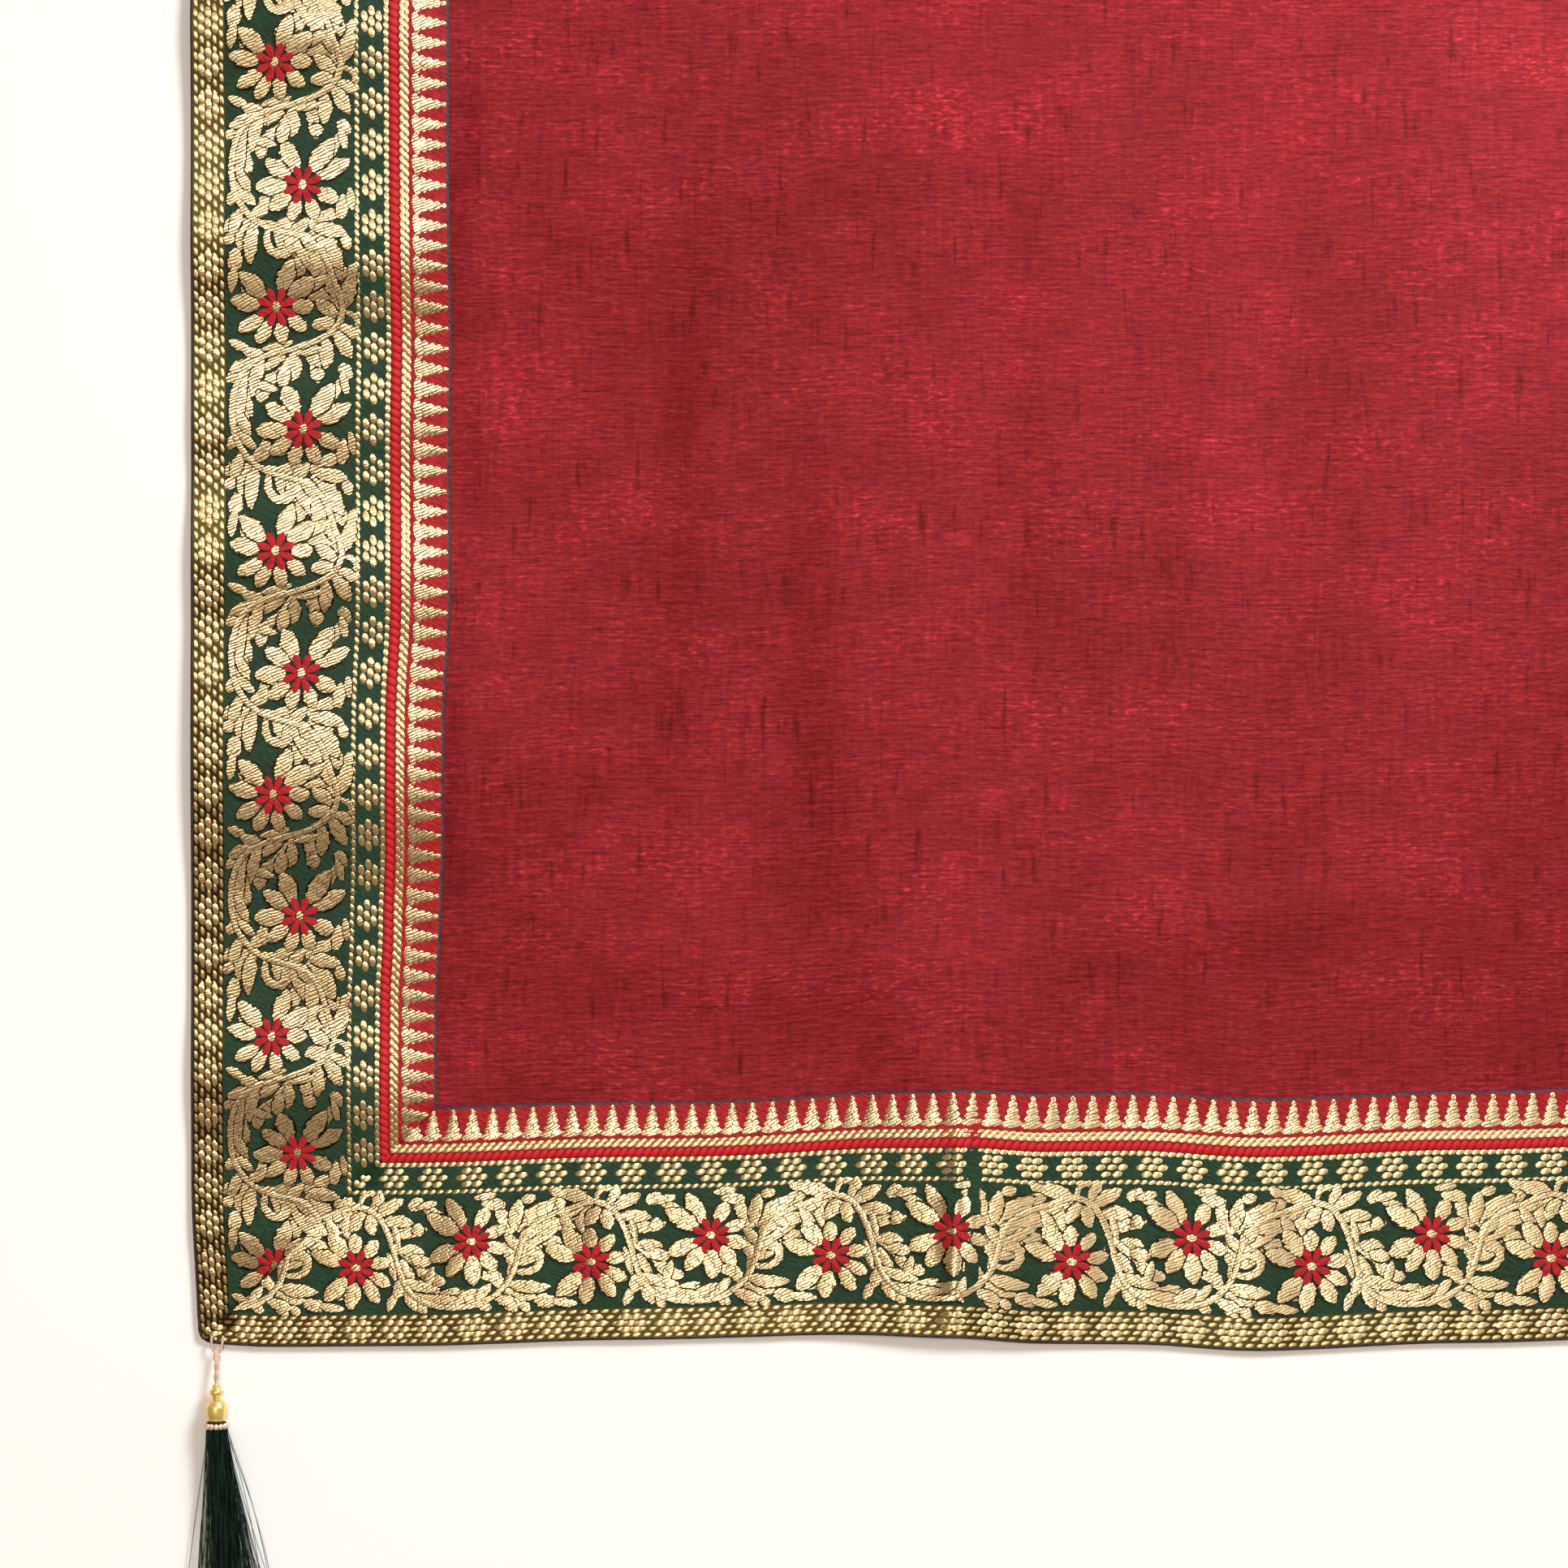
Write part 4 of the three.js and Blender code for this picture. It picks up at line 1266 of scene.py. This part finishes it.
def skirt_tree():
    """Strands that leave a round head in a sunflower's order and fan out flat, a bit unevenly."""
    tree, given = new_tree(
        "skirt", Count="Int", Length="Float", Root="Float", Thickness="Float", Low="Float",
        High="Float", Drift="Float", Spread="Float", Along="Float", Seed="Int",
    )

    def times(a, b):
        return math(tree, "MULTIPLY", a, b)

    def plus(a, b):
        return math(tree, "ADD", a, b)

    def blended(a, b, share):
        return node(tree, "ShaderNodeMix", {0: share, 2: a, 3: b}).outputs[0]

    def kept(geometry, name, value):
        return node(tree, "GeometryNodeStoreNamedAttribute", {
            "Geometry": geometry, "Name": name, "Value": value,
        }, data_type="FLOAT").outputs[0]

    def read(name):
        kept_value = node(tree, "GeometryNodeInputNamedAttribute", {"Name": name}, data_type="FLOAT")
        return kept_value.outputs[0]

    def chance(low, high, seed):
        return node(tree, "FunctionNodeRandomValue", {
            "Min": low, "Max": high, "Seed": plus(given["Seed"], seed),
        }, data_type="FLOAT").outputs["Value"]

    index = node(tree, "GeometryNodeInputIndex").outputs[0]
    out = math(tree, "SQRT", math(tree, "DIVIDE", plus(index, 0.5), given["Count"]))
    angle = times(index, np.pi * (3 - np.sqrt(5)))
    points = node(tree, "GeometryNodePoints", {"Count": given["Count"]}).outputs[0]
    points = kept(points, "side", times(out, math(tree, "COSINE", angle)))
    points = kept(points, "up", times(out, math(tree, "SINE", angle)))
    points = kept(points, "short", chance(0.0, 1.0, 1))
    points = kept(points, "stray", chance(-1.0, 1.0, 2))
    points = kept(points, "bow", chance(-1.0, 1.0, 3))
    line = node(tree, "GeometryNodeCurvePrimitiveLine", {"End": (0, -1, 0)}).outputs[0]
    line = node(tree, "GeometryNodeResampleCurve", {
        "Curve": line, "Count": STRANDS["points"],
    }).outputs[0]
    copies = node(tree, "GeometryNodeInstanceOnPoints", {"Points": points, "Instance": line})
    real = node(tree, "GeometryNodeRealizeInstances", {"Geometry": copies.outputs[0]}).outputs[0]

    share = node(tree, "GeometryNodeSplineParameter").outputs["Factor"]
    eased_share = math(tree, "POWER", share, STRANDS["ease"])
    settled = node(tree, "ShaderNodeMapRange", {
        "Value": share, "From Max": STRANDS["settled"],
    }, interpolation_type="SMOOTHSTEP").outputs[0]
    side, up, stray = read("side"), read("up"), read("stray")
    far = math(tree, "ABSOLUTE", stray)
    astray = times(times(stray, far), far)
    clumps = [(math(tree, "SINE", times(side, waves)), weight) for waves, weight in STRANDS["clumps"]]
    fanned_out = times(weighed(tree, side, *clumps), times(given["Spread"], STRANDS["kept"]))
    end_x = plus(given["Drift"], plus(fanned_out, times(astray, STRANDS["stray"])))
    bow = times(read("bow"), times(math(tree, "SINE", times(share, np.pi)), STRANDS["bow"]))
    x = plus(blended(times(side, given["Root"]), end_x, eased_share), bow)
    short = math(tree, "POWER", read("short"), 2.0)
    reach = times(given["Length"], math(tree, "SUBTRACT", 1.0, times(short, STRANDS["short"])))
    y = math(tree, "SUBTRACT", times(times(reach, share), -1.0), given["Along"])
    end_z = blended(given["Low"], given["High"], times(plus(up, 1.0), 0.5))
    z = blended(times(up, given["Root"]), end_z, settled)
    place = node(tree, "ShaderNodeCombineXYZ", {"X": x, "Y": y, "Z": z}).outputs[0]
    fanned = node(tree, "GeometryNodeSetPosition", {"Geometry": real, "Position": place}).outputs[0]
    profile = node(tree, "GeometryNodeCurvePrimitiveCircle", {
        "Resolution": 3, "Radius": given["Thickness"],
    }).outputs[0]
    strands = node(tree, "GeometryNodeCurveToMesh", {
        "Curve": fanned, "Profile Curve": profile, "Fill Caps": True,
    }).outputs[0]
    return finished_tree(tree, strands, given["Material"])


def gilt_finish(name, colour, roughness):
    """Polished gilt, faintly uneven from its casting."""
    material = finish_of(name, Metallic=0.7, Roughness=roughness)
    tree = material.node_tree
    place = node(tree, "ShaderNodeTexCoord").outputs["Object"]
    uneven = stretched_noise(tree, place, (2.4, 2.4), detail=2.0)
    dull = (*(0.82 * c for c in colour[:3]), 1)
    return dressed(material, ramp(tree, uneven, ((0.3, dull), (0.7, colour))), uneven, 0.12, 0.3)


def strand_finish(name, dark, light, **sockets):
    """Silk floss, its tone changing from strand to strand and along each."""
    material = finish_of(name, **{"Roughness": 0.45, "Specular_IOR_Level": 0.3, **sockets})
    tree = material.node_tree
    place = node(tree, "ShaderNodeTexCoord").outputs["Object"]
    strand = stretched_noise(tree, place, (0.9, 16), detail=3.0)
    colour = ramp(tree, strand, ((0.35, dark), (0.72, light)))
    return dressed(material, colour, strand, 0.4, 0.2)


RING = ring_tree()
FAN = skirt_tree()
thread_silk = strand_finish("thread_silk", srgb(196, 152, 122), srgb(244, 214, 188))
gilt = gilt_finish("gilt", srgb(255, 220, 132), 0.3)
pale_gilt = gilt_finish("pale_gilt", srgb(255, 228, 200), 0.28)
green_floss = strand_finish(
    "green_floss", srgb(6, 16, 13), srgb(44, 70, 57), Specular_IOR_Level=0.15,
)

for side, s, drift, spread in TASSELS:
    out = lay(*np.array([[s], [TASSEL["start"]], [TASSEL["out"]]], float))[0] / MM
    origin = (out[0], out[1] - TASSEL["start"], TASSEL["axis"])
    rise = out[2] - TASSEL["axis"]
    thread = tube(plies(rise), f"plies_{side}", PLY["radius"])
    put(thread, *origin, thread_silk, "thread", f"thread_{side}")
    small = turned(f"gilt_bead_{side}", BEAD_PROFILE, BEAD_FROM)
    put(small, *origin, gilt, "gilt", f"bead_{side}")
    barrel = turned(f"gilt_cap_{side}", CAP_PROFILE, CAP_FROM, sides=48)
    put(barrel, *origin, gilt, "gilt", f"cap_{side}")
    pearl = [(COLLAR["long"] * along, COLLAR["bead"] * radius) for along, radius in COLLAR_BEAD]
    collar = turned(f"bead_ring_{side}", pearl, 0, sides=10)
    baked(collar, RING, Count=COLLAR["beads"], Radius=COLLAR["ring"],
          Along=COLLAR_FROM + COLLAR["long"], Material=pale_gilt)
    put(collar, *origin, pale_gilt, "pale_gilt", f"collar_{side}")
    skirt = mesh_object(f"floss_{side}", [(0, 0, 0)], [])
    baked(skirt, FAN, **SKIRT, Drift=drift, Spread=spread, Along=COLLAR_FROM, Material=green_floss)
    put(skirt, *origin, green_floss, "tassel_silk", f"skirt_{side}")
